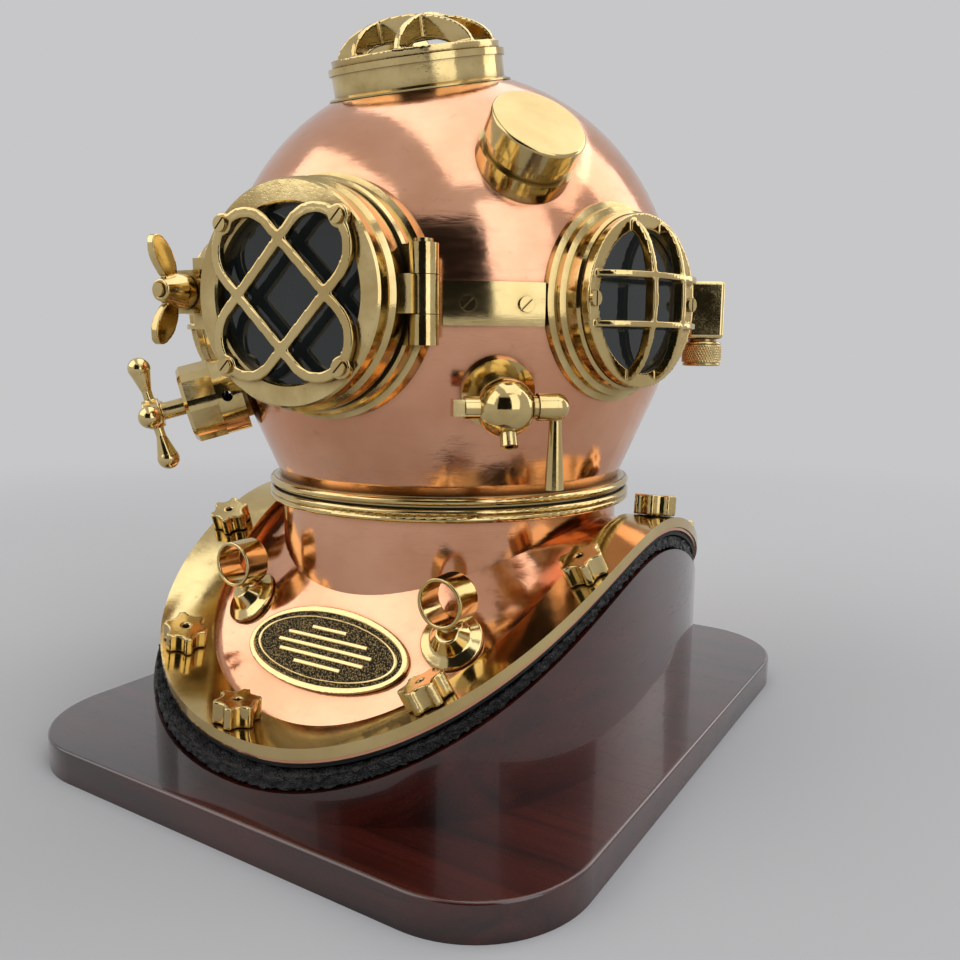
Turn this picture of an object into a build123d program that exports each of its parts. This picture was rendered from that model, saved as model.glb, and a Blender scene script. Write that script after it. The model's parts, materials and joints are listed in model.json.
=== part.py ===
from build123d import *
import os
from math import asin, cos, degrees, radians, sin, tan

os.makedirs("parts", exist_ok=True)

# Clearances
SEAT_GAP = 0.3
FIT_GAP = 0.2
LAYER_GAP = 0.3
RUN_GAP = 0.05
OVERRUN = 8.0

# Stand: a board of two planks and an oval plinth of four blocks
BOARD_WIDTH = 412.0
BOARD_DEPTH = 492.0
BOARD_THICKNESS = 22.0
BOARD_CORNER = 71.0
BOARD_EDGE = 2.0
BOARD_SEAM_Y = -28.0
PLINTH_HALF_WIDTH = 174.0
PLINTH_HALF_DEPTH = 228.0
PLINTH_WALL = 24.0
PLINTH_SEAM_X = 141.0
PAD_THICKNESS = 10.0
PAD_INSET = 1.0
PAD_WIDTH = 27.0

# Saddle: the height of the flange's top face follows the bearing round the oval
OVAL_POWER = 2.5
OVAL_STEPS = 40
SADDLE_FRONT = 54.0
SADDLE_RISE = 116.0
SADDLE_STEPS = 42
SADDLE_INNER = 96.0
SADDLE_OUTER = 262.0
HALF_TURN = 180.0
QUARTER_TURN = 90.0
SADDLE_LAP = 14.0

# Breastplate
FLANGE_HALF_WIDTH = 176.0
FLANGE_HALF_DEPTH = 219.0
FLANGE_WIDTH = 33.0
BRAIL_THICKNESS = 7.0
COPPER_WALL = 2.0
COPPER_INSET = 1.0
GASKET_THICKNESS = 3.0
GASKET_INSET = 2.5
COLLAR_RADIUS = 127.0
COLLAR_TOP = 174.0
SHEET_FRONT = 122.0
SHEET_RISE = 44.0
SHEET_POWER = 1.5
SHEET_LAP = 12.0
SHEET_STEPS = 14
SURFACE_TOLERANCE = 0.001
NUT_INSET = 15.0
NUT_BEARINGS = (-6.0, 31.0, 63.0, 96.0, 124.0, 152.0, 180.0, 208.0, 236.0, 266.0, 298.0, 330.0)
STUD_RADIUS = 4.7
STUD_HOLE_RADIUS = 5.3
STUD_FOOT = 0.6
NUT_HEIGHT = 14.0
NUT_SEAT = 0.5
NUT_RADIUS = 14.5
NUT_CROWN = 3.5
NUT_FLUTES = 6
NUT_FLUTE_RADIUS = 6.5
NUT_FLUTE_CIRCLE = 17.5
NUT_EYE_RADIUS = 2.3
NUT_BORE_RADIUS = 4.75
STUD_SHORT = 5.0

# Lashing eyes
EYE_BEARING = 34.5
EYE_CIRCLE = 152.5
EYE_FOOT_RADIUS = 20.0
EYE_WAIST_RADIUS = 7.0
EYE_FOOT_HEIGHT = 6.0
EYE_STEM_HEIGHT = 16.0
EYE_RING_RADIUS = 16.0
EYE_RING_WALL = 2.6
EYE_RING_LENGTH = 20.0
EYE_LEAN = 0.5
EYE_FOOT_SINK = 14.0

# Name plate
PLATE_HALF_WIDTH = 66.0
PLATE_HALF_HEIGHT = 27.5
PLATE_THICKNESS = 2.6
PLATE_RIM_WIDTH = 4.0
PLATE_RIM_HEIGHT = 1.3
PLATE_REACH = 146.5
PLATE_REST = 0.4

# Neck rings with an interrupted thread
RING_OUTER = 133.0
RING_BORE = 129.0
RING_FLOOR = 1.5
JOINT_HEIGHT = 184.0
NECK_TOP = 191.0
NECK_GASKET = 0.9
NECK_GASKET_WIDTH = 3.0
BEAD_RADIUS = 2.5
BEAD_RISE = 0.8
LOWER_BEADS = (176.8, 180.9)
UPPER_BEADS = (188.0,)
SKIRT_OUTER = 125.8
SKIRT_WALL = 3.2
THREAD_DEPTH = 2.7
THREAD_HEIGHT = 2.4
THREAD_GAP = 0.5
THREAD_SEGMENTS = 4
THREAD_ARC = 40.0
BONNET_YAW = 5.5

# Bonnet
DOME_RADIUS = 165.0
DOME_WALL = 2.5
DOME_HEIGHT = 312.0
CONE_DROP = 65.0

# Front window: frame on the bonnet and hinged door
FRAME_FOOT_RADIUS = 72.0
FRAME_FOOT_REACH = 158.0
FRAME_RADIUS = 69.0
FRAME_BORE = 53.0
FRAME_REACH = 170.0
FRAME_EDGE = 1.5
DOOR_GASKET_THICKNESS = 2.7
DOOR_GASKET_INNER = 56.0
DOOR_GASKET_OUTER = 65.0
DOOR_RADIUS = 66.0
DOOR_STEP_REACH = 183.0
DOOR_STEP = 2.6
DOOR_FACE = 195.3
DOOR_FACE_EDGE = 1.2
DOOR_BORE = 50.0
DOOR_LIP = 6.5
GLASS_RADIUS = 55.2
GLASS_THICKNESS = 8.0
GLASS_POCKET = 55.5
RETAINER_BORE = 50.5
GUARD_HALF_WIDTH = 21.5
GUARD_END = 34.0
GUARD_BAR = 6.0
GUARD_THICKNESS = 4.6
GUARD_LUG_PLACE = 40.0
GUARD_LUG_RADIUS = 6.4
GUARD_ANGLE = 45.0

# Door hinge
HINGE_X = 74.0
HINGE_REACH = 168.0
KNUCKLE_RADIUS = 8.5
KNUCKLE_HALF = 10.5
KNUCKLE_TOP = 27.5
KNUCKLE_GAP = 0.4
HINGE_PIN_RADIUS = 3.2
HINGE_PIN_HEAD = 5.4
HINGE_PIN_HEAD_HEIGHT = 2.4
HINGE_WEB_REACH = 161.5
HINGE_WEB_IN = 60.0
DOOR_WEB_THICKNESS = 8.5
NOTCH_GAP = 1.0

# Door clamp: a captive wing screw
CLAMP_X = -83.0
CLAMP_Y = 4.0
CLAMP_LUG_HALF_HEIGHT = 22.0
CLAMP_LUG_HALF_WIDTH = 9.0
CLAMP_LUG_IN = -60.0
CLAMP_LUG_REACH = 156.0
DOOR_LUG_HALF_HEIGHT = 13.0
DOOR_LUG_REACH = 186.0
CLAMP_BOLT_RADIUS = 4.0
CLAMP_BOLT_TIP = 164.0
CLAMP_SOCKET_RADIUS = 5.0
CLAMP_SOCKET_REACH = 162.0
WING_HUB_RADIUS = 10.5
WING_HUB_NOSE = 6.4
WING_HUB_LENGTH = 20.0
WING_BOLT_END = 2.0
WING_PLACE = 19.0
WING_LONG = 14.0
WING_SHORT = 7.0
WING_THICKNESS = 5.0
WING_TILT = 28.0
WING_REACH = 203.4

# Side windows
SIDE_BEARING = 69.2
SIDE_FOOT_RADIUS = 61.2
SIDE_FOOT_REACH = 157.0
SIDE_BODY_RADIUS = 57.5
SIDE_NECK_RADIUS = 54.0
SIDE_STEP_REACH = 163.0
SIDE_GROOVE = 1.6
SIDE_SEAT = 174.0
SIDE_FACE = 180.4
SIDE_FACE_RADIUS = 51.9
SIDE_BORE = 43.0
SIDE_GLASS_RADIUS = 47.0
SIDE_GLASS_THICKNESS = 8.0
SIDE_BAR_PLACE = 14.0
SIDE_BAR_RISE = 21.0
SIDE_BAR_DEPTH = 7.0
SIDE_BLADE_DEPTH = 11.0
BAR_THICKNESS = 3.6
SIDE_SCREW_PLACE = 47.5

# Top window
TOP_TILT = 17.0
TOP_FOOT_RADIUS = 62.5
TOP_FOOT_REACH = 154.0
TOP_BODY_RADIUS = 58.5
TOP_RIM_RADIUS = 60.0
TOP_RIM_HEIGHT = 4.0
TOP_SEAT = 172.5
TOP_FACE = 177.5
TOP_BORE = 46.0
TOP_GLASS_RADIUS = 50.0
TOP_GLASS_THICKNESS = 8.0
TOP_BAR_PLACE = 16.0
TOP_BAR_RISE = 23.5
TOP_BAR_DEPTH = 15.0

# Strap plate between the hinge and the left window
STRAP_BEARING = 37.2
STRAP_RISE = -1.2
STRAP_HALF_LENGTH = 30.0
STRAP_HALF_HEIGHT = 12.5
STRAP_THICKNESS = 3.2
STRAP_SCREW_PLACE = 17.0
STRAP_SCREW_SHIFT = 1.0
SCREW_RADIUS = 4.4
SCREW_HEIGHT = 2.2
SCREW_SLOT = 1.1
SCREW_SLOT_DEPTH = 1.2

# Exhaust valve
EXHAUST_BEARING = -46.0
EXHAUST_RISE = -21.0
EXHAUST_SWING = -1.5
EXHAUST_LIFT = 6.0
EXHAUST_FOOT_RADIUS = 19.0
EXHAUST_FOOT_REACH = 166.0
EXHAUST_BODY_RADIUS = 27.0
EXHAUST_BODY_REACH = 183.0
EXHAUST_BORE = 20.0
EXHAUST_SEAT_BORE = 9.0
EXHAUST_SEAT_REACH = 170.0
EXHAUST_COVER_RADIUS = 28.5
EXHAUST_COVER_REACH = 205.0
EXHAUST_COVER_EDGE = 2.5
EXHAUST_FLATS = 8
EXHAUST_PORT_RADIUS = 3.6
EXHAUST_PORTS = 8
EXHAUST_PORT_REACH = 176.0
DISC_RADIUS = 14.0
DISC_THICKNESS = 3.0
DISC_STEM_RADIUS = 3.0
DISC_TRAVEL = 5.0
CHIN_RADIUS = 14.0
CHIN_REACH = 132.0
CHIN_THICKNESS = 5.0
GUIDE_RADIUS = 3.06
SPRING_RADIUS = 7.0
SPRING_WIRE = 0.8
SPRING_TURNS = 5
HANDLE_SCREW_RADIUS = 6.0
HANDLE_SCREW_DEPTH = 12.0
HANDLE_LIFT = 17.0
HANDLE_HUB_LENGTH = 11.0
HANDLE_HUB_RADIUS = 10.0
HANDLE_ARM = 40.0
HANDLE_ARM_RADIUS = 3.4
HANDLE_KNOB_RADIUS = 7.6
HANDLE_ARMS = 4

# Spitcock
SPIT_BEARING = 38.5
SPIT_RISE = -19.0
SPIT_FOOT_RADIUS = 22.0
SPIT_FOOT_REACH = 171.0
SPIT_NECK_RADIUS = 12.0
SPIT_BALL_REACH = 190.0
SPIT_BALL_RADIUS = 17.0
SPIT_PLUG_RADIUS = 6.5
SPIT_PLUG_LEFT = -24.0
SPIT_SQUARE = 9.5
SPIT_SQUARE_END = -31.0
SPIT_KNUCKLE_X = 29.5
SPIT_KNUCKLE_RADIUS = 8.0
SPIT_COLLAR_X = 18.5
SPIT_LEVER_LENGTH = 48.0
SPIT_LEVER_TOP = 3.6
SPIT_LEVER_FOOT = 5.6
SPIT_OUTLET_RADIUS = 5.0
SPIT_OUTLET_BORE = 2.6
SPIT_OUTLET_LENGTH = 24.0
SPIT_OUTLET_LEAN = 25.0

# Telephone receiver cup
CUP_BEARING = 46.5
CUP_RISE = 31.0
CUP_SWING = 5.0
CUP_LIFT = 10.0
CUP_PIVOT_REACH = 183.0
CUP_RADIUS = 26.5
CUP_FOOT_RADIUS = 29.5
CUP_FOOT_REACH = 168.0
CUP_CAP_START = 176.0
CUP_CAP_RADIUS = 29.0
CUP_CAP_FACE = 190.0
CUP_CAP_EDGE = 2.0
CUP_CAP_WALL = 3.0
SPEAKER_RADIUS = 21.0
SPEAKER_THICKNESS = 9.0
CUP_WALL = 3.0
CONDUIT_X = 33.0
CONDUIT_Y = 14.0
CONDUIT_RADIUS = 9.0
CONDUIT_REACH = 171.0

# Air and telephone elbows behind
ELBOW_BEARING = 115.0
ELBOW_SHIFT = 10.0
ELBOW_FOOT_RADIUS = 19.0
ELBOW_FOOT_REACH = 168.0
ELBOW_STUB_RADIUS = 12.0
ELBOW_NEAR = 177.0
ELBOW_FAR = 203.0
ELBOW_HALF_WIDTH = 13.0
ELBOW_TOP = 22.0
ELBOW_BOTTOM = -20.0
ELBOW_EDGE = 3.0
ELBOW_BORE = 8.0
ELBOW_SPIGOT_RADIUS = 10.5
ELBOW_SPIGOT_END = -34.0
UNION_RADIUS = 14.5
UNION_TOP = -22.0
UNION_BOTTOM = -40.0
UNION_BORE = 10.55
UNION_MOUTH = 7.0
UNION_NOTCHES = 24
UNION_NOTCH = 1.1
VALVE_RADIUS = 7.7
VALVE_LENGTH = 9.0
VALVE_STEM_RADIUS = 2.0


def keep(builder, name):
    """Labels a finished piece and writes it under its own name."""
    builder.part.label = name
    export_step(builder.part, f"parts/{name}.step")


def facing(bearing, rise):
    """Plane at the dome's centre whose normal points out at a bearing from the front and a rise."""
    turn = radians(bearing + BONNET_YAW)
    lift = radians(rise)
    return Plane(
        origin=(0, 0, DOME_HEIGHT),
        x_dir=(cos(turn), sin(turn), 0),
        z_dir=(sin(turn) * cos(lift), -cos(turn) * cos(lift), sin(lift)),
    )


def side_of(plane):
    """Plane through the normal: across is along x, up is outwards."""
    return Plane(origin=plane.origin, x_dir=plane.x_dir, z_dir=-plane.y_dir)


def end_of(plane):
    """Plane through the normal: across is along y, up is outwards."""
    return Plane(origin=plane.origin, x_dir=plane.y_dir, z_dir=plane.x_dir)


def moved(plane, across, up, out):
    """The same plane with its origin moved along its own directions."""
    origin = plane.origin + plane.x_dir * across + plane.y_dir * up + plane.z_dir * out
    return Plane(origin=origin, x_dir=plane.x_dir, z_dir=plane.z_dir)


def spin(plane, outline, mode=Mode.ADD):
    """Solid of revolution about a plane's normal from corners given as radius and reach."""
    with BuildSketch(side_of(plane), mode=Mode.PRIVATE) as profile:
        with BuildLine():
            Polyline(*outline, close=True)
        make_face()
    revolve(profile.sketch, axis=Axis(plane.origin, plane.z_dir), mode=mode)


def rod(plane, radius, start, end, across=0, up=0, mode=Mode.ADD):
    """Round bar along a plane's normal."""
    with BuildSketch(plane.offset(start), mode=Mode.PRIVATE) as section:
        with Locations((across, up)):
            Circle(radius)
    extrude(section.sketch, amount=end - start, mode=mode)


def tube(plane, outer, inner, start, end, mode=Mode.ADD):
    """Round tube along a plane's normal."""
    with BuildSketch(plane.offset(start), mode=Mode.PRIVATE) as section:
        Circle(outer)
        Circle(inner, mode=Mode.SUBTRACT)
    extrude(section.sketch, amount=end - start, mode=mode)


def block(plane, left, right, low, high, start, end, mode=Mode.ADD):
    """Square bar along a plane's normal between four sides."""
    with BuildSketch(plane.offset(start), mode=Mode.PRIVATE) as section:
        with Locations(((left + right) / 2, (low + high) / 2)):
            Rectangle(right - left, high - low)
    extrude(section.sketch, amount=end - start, mode=mode)


def ball(place, radius, mode=Mode.ADD):
    """Sphere about a place in space."""
    with Locations(place):
        Sphere(radius, mode=mode)


def oval_reach(half_width, half_depth, bearing):
    """Distance of an oval outline from its centre at a bearing from the front."""
    turn = radians(bearing)
    across = abs(sin(turn)) / half_width
    along = abs(cos(turn)) / half_depth
    return (across**OVAL_POWER + along**OVAL_POWER) ** (-1 / OVAL_POWER)


def at_bearing(reach, bearing, height):
    """Point at a reach and a bearing from the front."""
    turn = radians(bearing)
    return Vector(reach * sin(turn), -reach * cos(turn), height)


def rim_height(bearing):
    """Height of the flange's top face."""
    return SADDLE_FRONT + SADDLE_RISE * sin(radians(bearing)) ** 2


def rim_plane(half_width, half_depth, bearing):
    """Plane on the flange's top face, square to it."""
    reach = oval_reach(half_width, half_depth, bearing)
    turn = radians(bearing)
    slope = SADDLE_RISE * sin(2 * turn) / reach
    normal = Vector(-slope * cos(turn), -slope * sin(turn), 1)
    return Plane(
        origin=at_bearing(reach, bearing, rim_height(bearing)),
        x_dir=(sin(turn), -cos(turn), 0),
        z_dir=normal,
    )


def oval(half_width, half_depth, mode=Mode.ADD):
    """Oval face about the origin, inside a sketch."""
    bearings = [2 * HALF_TURN * step / OVAL_STEPS for step in range(OVAL_STEPS)]
    points = []
    for bearing in bearings:
        reach = oval_reach(half_width, half_depth, bearing)
        points.append(at_bearing(reach, bearing, 0))
    with BuildLine(mode=Mode.PRIVATE) as outline:
        Spline(*points, periodic=True)
    make_face(outline.line, mode=mode)


def front_bearings():
    """Bearings over the front half, lapping a little past each side."""
    span = HALF_TURN + 2 * SADDLE_LAP
    return [-span / 2 + span * step / SADDLE_STEPS for step in range(SADDLE_STEPS + 1)]


def saddle_face(level):
    """Front half of the saddle surface, level along each bearing."""
    rows = []
    for bearing in front_bearings():
        height = rim_height(bearing) + level
        middle = (SADDLE_INNER + SADDLE_OUTER) / 2
        rows.append([at_bearing(reach, bearing, height) for reach in (SADDLE_INNER, middle, SADDLE_OUTER)])
    return Face.make_surface_from_array_of_points(rows, tol=SURFACE_TOLERANCE)


def sheet_height(reach, bearing):
    """Height of the breastplate's surface between the collar and the flange."""
    inner = oval_reach(FLANGE_HALF_WIDTH - FLANGE_WIDTH, FLANGE_HALF_DEPTH - FLANGE_WIDTH, bearing)
    share = (reach - COLLAR_RADIUS) / (inner - COLLAR_RADIUS)
    flat = rim_height(bearing) - BRAIL_THICKNESS
    collar = SHEET_FRONT + SHEET_RISE * sin(radians(bearing)) ** 2
    return flat + (collar - flat) * max(1 - share, 0) ** SHEET_POWER


def sheet_plane(reach, bearing):
    """Plane on the breastplate's surface, square to it."""
    step = COPPER_WALL
    here = at_bearing(reach, bearing, sheet_height(reach, bearing))
    out = at_bearing(reach + step, bearing, sheet_height(reach + step, bearing)) - here
    swing = degrees(step / reach)
    along = at_bearing(reach, bearing + swing, sheet_height(reach, bearing + swing)) - here
    return Plane(origin=here, x_dir=along, z_dir=out.cross(along))


def sheet_face(level):
    """Front half of the breastplate's surface, from inside the collar to past the flange."""
    rows = []
    near = COLLAR_RADIUS - SHEET_LAP
    for bearing in front_bearings():
        far = oval_reach(FLANGE_HALF_WIDTH, FLANGE_HALF_DEPTH, bearing) + SHEET_LAP
        reaches = [near + (far - near) * step / SHEET_STEPS for step in range(SHEET_STEPS + 1)]
        rows.append([at_bearing(reach, bearing, sheet_height(reach, bearing) + level) for reach in reaches])
    return Face.make_surface_from_array_of_points(rows, tol=SURFACE_TOLERANCE)


def both_halves(face, depth):
    """Solid between a front half surface and the same surface lower down, with its mirror image."""
    with BuildPart() as slab:
        extrude(face, amount=depth, dir=(0, 0, -1))
        split(bisect_by=Plane.XZ, keep=Keep.TOP)
        mirror(about=Plane.XZ)
    return slab.part


def saddle_slab(top, depth):
    """Slab under the saddle surface."""
    return both_halves(saddle_face(top), depth)


def oval_ring(outer_width, outer_depth, width, low, high):
    """Upright ring between two oval outlines a width apart."""
    with BuildPart() as ring:
        with BuildSketch(Plane.XY.offset(low)):
            oval(outer_width, outer_depth)
            oval(outer_width - width, outer_depth - width, mode=Mode.SUBTRACT)
        extrude(amount=high - low)
    return ring.part


# Levels of the flange's layers under its top face
COPPER_TOP = -BRAIL_THICKNESS
GASKET_TOP = COPPER_TOP - COPPER_WALL - 2 * LAYER_GAP
PAD_TOP = GASKET_TOP - GASKET_THICKNESS - SEAT_GAP
PLINTH_TOP = PAD_TOP - PAD_THICKNESS
SADDLE_TOP = SADDLE_FRONT + SADDLE_RISE

# Places of the exhaust handle along its own axis
HANDLE_SCREW_START = EXHAUST_COVER_REACH - HANDLE_SCREW_DEPTH
HANDLE_HUB_START = EXHAUST_COVER_REACH + HANDLE_LIFT
HANDLE_HUB_END = HANDLE_HUB_START + HANDLE_HUB_LENGTH

FRONT = facing(0, 0)
LEFT = facing(SIDE_BEARING, 0)
RIGHT = facing(-SIDE_BEARING, 0)
TOP = facing(0, QUARTER_TURN - TOP_TILT)
STRAP = facing(STRAP_BEARING, STRAP_RISE)
EXHAUST_FOOT = facing(EXHAUST_BEARING, EXHAUST_RISE).offset(DOME_RADIUS)
EXHAUST_WAY = facing(EXHAUST_BEARING + EXHAUST_SWING, EXHAUST_RISE + EXHAUST_LIFT)
EXHAUST = Plane(
    origin=EXHAUST_FOOT.origin - EXHAUST_WAY.z_dir * DOME_RADIUS,
    x_dir=EXHAUST_WAY.x_dir,
    z_dir=EXHAUST_WAY.z_dir,
)
SPIT = facing(SPIT_BEARING, SPIT_RISE)
CUP_WAY = facing(CUP_BEARING + CUP_SWING, CUP_RISE + CUP_LIFT)
CUP = Plane(
    origin=facing(CUP_BEARING, CUP_RISE).offset(CUP_PIVOT_REACH).origin - CUP_WAY.z_dir * CUP_PIVOT_REACH,
    x_dir=CUP_WAY.x_dir,
    z_dir=CUP_WAY.z_dir,
)
AIR = facing(ELBOW_BEARING, 0)
PHONE = facing(-ELBOW_BEARING, 0)


def make_board():
    """Front and rear plank of the base board."""
    for name, side in (("base_plank_front", Keep.TOP), ("base_plank_rear", Keep.BOTTOM)):
        with BuildPart() as plank:
            with BuildSketch():
                RectangleRounded(BOARD_WIDTH, BOARD_DEPTH, BOARD_CORNER)
            extrude(amount=BOARD_THICKNESS)
            fillet(plank.edges().group_by(Axis.Z)[-1], radius=BOARD_EDGE)
            split(bisect_by=Plane.XZ.offset(-BOARD_SEAM_Y), keep=side)
        keep(plank, name)


def make_plinth():
    """Four blocks of the oval plinth under the saddle, and the pad on them."""
    height = SADDLE_TOP + PLINTH_TOP - BOARD_THICKNESS
    wall = oval_ring(PLINTH_HALF_WIDTH, PLINTH_HALF_DEPTH, PLINTH_WALL, BOARD_THICKNESS, SADDLE_TOP)
    under = saddle_slab(PLINTH_TOP, height + OVERRUN)
    with BuildPart() as whole:
        add(wall)
        add(under, mode=Mode.INTERSECT)
    far = PLINTH_HALF_DEPTH + OVERRUN
    seam = PLINTH_SEAM_X
    quarters = {
        "plinth_front": (-seam, seam, -far, 0),
        "plinth_rear": (-seam, seam, 0, far),
        "plinth_left": (seam, far, -far, far),
        "plinth_right": (-far, -seam, -far, far),
    }
    for name, (left, right, near, back) in quarters.items():
        with BuildPart() as quarter:
            add(whole.part)
            block(Plane.XY, left, right, near, back, 0, SADDLE_TOP, mode=Mode.INTERSECT)
        keep(quarter, name)
    pad_ring = oval_ring(PLINTH_HALF_WIDTH - PAD_INSET, PLINTH_HALF_DEPTH - PAD_INSET, PAD_WIDTH, 0, SADDLE_TOP)
    with BuildPart() as pad:
        add(pad_ring)
        add(saddle_slab(PAD_TOP, PAD_THICKNESS), mode=Mode.INTERSECT)
    keep(pad, "plinth_pad")


def nut_planes():
    """Planes of the twelve studs on the flange's top face."""
    return [
        rim_plane(FLANGE_HALF_WIDTH - NUT_INSET, FLANGE_HALF_DEPTH - NUT_INSET, bearing)
        for bearing in NUT_BEARINGS
    ]


def drill_studs():
    """Stud holes through a layer of the flange."""
    for plane in nut_planes():
        rod(plane, STUD_HOLE_RADIUS, -OVERRUN - BRAIL_THICKNESS, OVERRUN, mode=Mode.SUBTRACT)


def nut_outline(bore):
    """Face of a fluted nut with a bore, inside a sketch."""
    Circle(NUT_RADIUS)
    with PolarLocations(NUT_FLUTE_CIRCLE, NUT_FLUTES):
        Circle(NUT_FLUTE_RADIUS, mode=Mode.SUBTRACT)
    Circle(bore, mode=Mode.SUBTRACT)


def make_flange():
    """Straps, gasket, studs and nuts that clamp the breastplate's flange."""
    brail_ring = oval_ring(FLANGE_HALF_WIDTH, FLANGE_HALF_DEPTH, FLANGE_WIDTH, 0, SADDLE_TOP + OVERRUN)
    slab = saddle_slab(0, BRAIL_THICKNESS)
    far = FLANGE_HALF_DEPTH + OVERRUN
    corners = {
        "brail_front_left": (0, far, -far, 0),
        "brail_front_right": (-far, 0, -far, 0),
        "brail_rear_left": (0, far, 0, far),
        "brail_rear_right": (-far, 0, 0, far),
    }
    for name, (left, right, near, back) in corners.items():
        with BuildPart() as brail:
            add(brail_ring)
            add(slab, mode=Mode.INTERSECT)
            block(Plane.XY, left, right, near, back, 0, SADDLE_TOP + OVERRUN, mode=Mode.INTERSECT)
            drill_studs()
        keep(brail, name)
    gasket_ring = oval_ring(
        FLANGE_HALF_WIDTH - GASKET_INSET,
        FLANGE_HALF_DEPTH - GASKET_INSET,
        FLANGE_WIDTH - GASKET_INSET,
        0,
        SADDLE_TOP,
    )
    with BuildPart() as gasket:
        add(gasket_ring)
        add(saddle_slab(GASKET_TOP, GASKET_THICKNESS), mode=Mode.INTERSECT)
        drill_studs()
    keep(gasket, "flange_gasket")
    with BuildPart() as studs:
        for plane in nut_planes():
            rod(plane, STUD_RADIUS, GASKET_TOP - STUD_FOOT, NUT_HEIGHT - STUD_SHORT)
    keep(studs, "flange_studs")
    with BuildPart() as nuts:
        for plane in nut_planes():
            with BuildSketch(plane.offset(NUT_SEAT)):
                nut_outline(NUT_BORE_RADIUS)
            extrude(amount=NUT_HEIGHT - NUT_CROWN)
            with BuildSketch(plane.offset(NUT_SEAT + NUT_HEIGHT - NUT_CROWN)):
                nut_outline(NUT_EYE_RADIUS)
            extrude(amount=NUT_CROWN)
    keep(nuts, "flange_nuts")


def make_breastplate():
    """Copper sheet, bent like a saddle, and the round collar brazed on top of it."""
    sheet = both_halves(sheet_face(-LAYER_GAP), COPPER_WALL)
    under = both_halves(sheet_face(-LAYER_GAP), SADDLE_TOP)
    bore = COLLAR_RADIUS - COPPER_WALL
    with BuildPart() as shell:
        with BuildSketch():
            oval(FLANGE_HALF_WIDTH - COPPER_INSET, FLANGE_HALF_DEPTH - COPPER_INSET)
        extrude(amount=SADDLE_TOP + OVERRUN)
        add(sheet, mode=Mode.INTERSECT)
        rod(Plane.XY, bore, 0, SADDLE_TOP + OVERRUN, mode=Mode.SUBTRACT)
        drill_studs()
    with BuildPart() as collar:
        tube(Plane.XY, COLLAR_RADIUS, bore, SHEET_FRONT - OVERRUN * 2, COLLAR_TOP)
        add(under, mode=Mode.SUBTRACT)
    keep(shell, "breastplate_shell")
    keep(collar, "breastplate_collar")


def make_lashing_eyes():
    """Short rings on flared feet, one each side of the name plate."""
    under = both_halves(sheet_face(SEAT_GAP / 2), SADDLE_TOP)
    for name, bearing in (("lashing_eye_left", EYE_BEARING), ("lashing_eye_right", -EYE_BEARING)):
        foot = sheet_plane(EYE_CIRCLE, bearing)
        stem = Plane(origin=foot.origin, z_dir=foot.z_dir * EYE_LEAN + Vector(0, 0, 1))
        ring_centre = stem.origin + stem.z_dir * (EYE_STEM_HEIGHT + EYE_RING_RADIUS - EYE_RING_WALL)
        ring_plane = Plane(origin=ring_centre, x_dir=(1, 0, 0), z_dir=(0, -1, 0))
        half = EYE_RING_LENGTH / 2
        with BuildPart() as eye:
            spin(
                foot,
                [
                    (0, -EYE_FOOT_SINK),
                    (EYE_FOOT_RADIUS, -EYE_FOOT_SINK),
                    (EYE_FOOT_RADIUS, EYE_FOOT_HEIGHT / 2),
                    (EYE_WAIST_RADIUS + EYE_FOOT_HEIGHT, EYE_FOOT_HEIGHT),
                    (EYE_WAIST_RADIUS, EYE_STEM_HEIGHT - EYE_RING_WALL),
                    (0, EYE_STEM_HEIGHT - EYE_RING_WALL),
                ],
            )
            rod(stem, EYE_WAIST_RADIUS, 0, EYE_STEM_HEIGHT + EYE_RING_WALL)
            add(under, mode=Mode.SUBTRACT)
            rod(ring_plane, EYE_RING_RADIUS, -half, half)
            rod(ring_plane, EYE_RING_RADIUS - EYE_RING_WALL, -half - OVERRUN, half + OVERRUN, mode=Mode.SUBTRACT)
        keep(eye, name)


def make_name_plate():
    """Oval plate bent to the sheet, with a raised rim and a bare field."""
    base = sheet_plane(PLATE_REACH, 0)
    layer = both_halves(sheet_face(PLATE_REST + PLATE_THICKNESS), PLATE_THICKNESS)
    rim_layer = both_halves(sheet_face(PLATE_REST + PLATE_THICKNESS + PLATE_RIM_HEIGHT), PLATE_RIM_HEIGHT * 2)
    reach = PLATE_HALF_HEIGHT
    with BuildPart() as field:
        with BuildSketch(base.offset(-reach)):
            Ellipse(PLATE_HALF_WIDTH, PLATE_HALF_HEIGHT)
        extrude(amount=reach * 2)
        add(layer, mode=Mode.INTERSECT)
    with BuildPart() as rim:
        with BuildSketch(base.offset(-reach)):
            Ellipse(PLATE_HALF_WIDTH, PLATE_HALF_HEIGHT)
            Ellipse(PLATE_HALF_WIDTH - PLATE_RIM_WIDTH, PLATE_HALF_HEIGHT - PLATE_RIM_WIDTH, mode=Mode.SUBTRACT)
        extrude(amount=reach * 2)
        add(rim_layer, mode=Mode.INTERSECT)
    with BuildPart() as plate:
        add(field.part)
        add(rim.part)
    keep(plate, "name_plate")


def thread_segments(outer, inner, low, turn):
    """Four thread segments as short arcs of a ring."""
    gap = radians(2 * QUARTER_TURN / THREAD_SEGMENTS - THREAD_ARC / 2)
    length = outer + OVERRUN
    with BuildPart() as segments:
        with BuildSketch(Plane.XY.offset(low)):
            Circle(outer)
            Circle(inner, mode=Mode.SUBTRACT)
            with PolarLocations(0, THREAD_SEGMENTS, start_angle=turn):
                Polygon(
                    (0, 0),
                    (length, -length * tan(gap)),
                    (length, length * tan(gap)),
                    align=None,
                    mode=Mode.SUBTRACT,
                )
        extrude(amount=THREAD_HEIGHT)
    return segments.part


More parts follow.
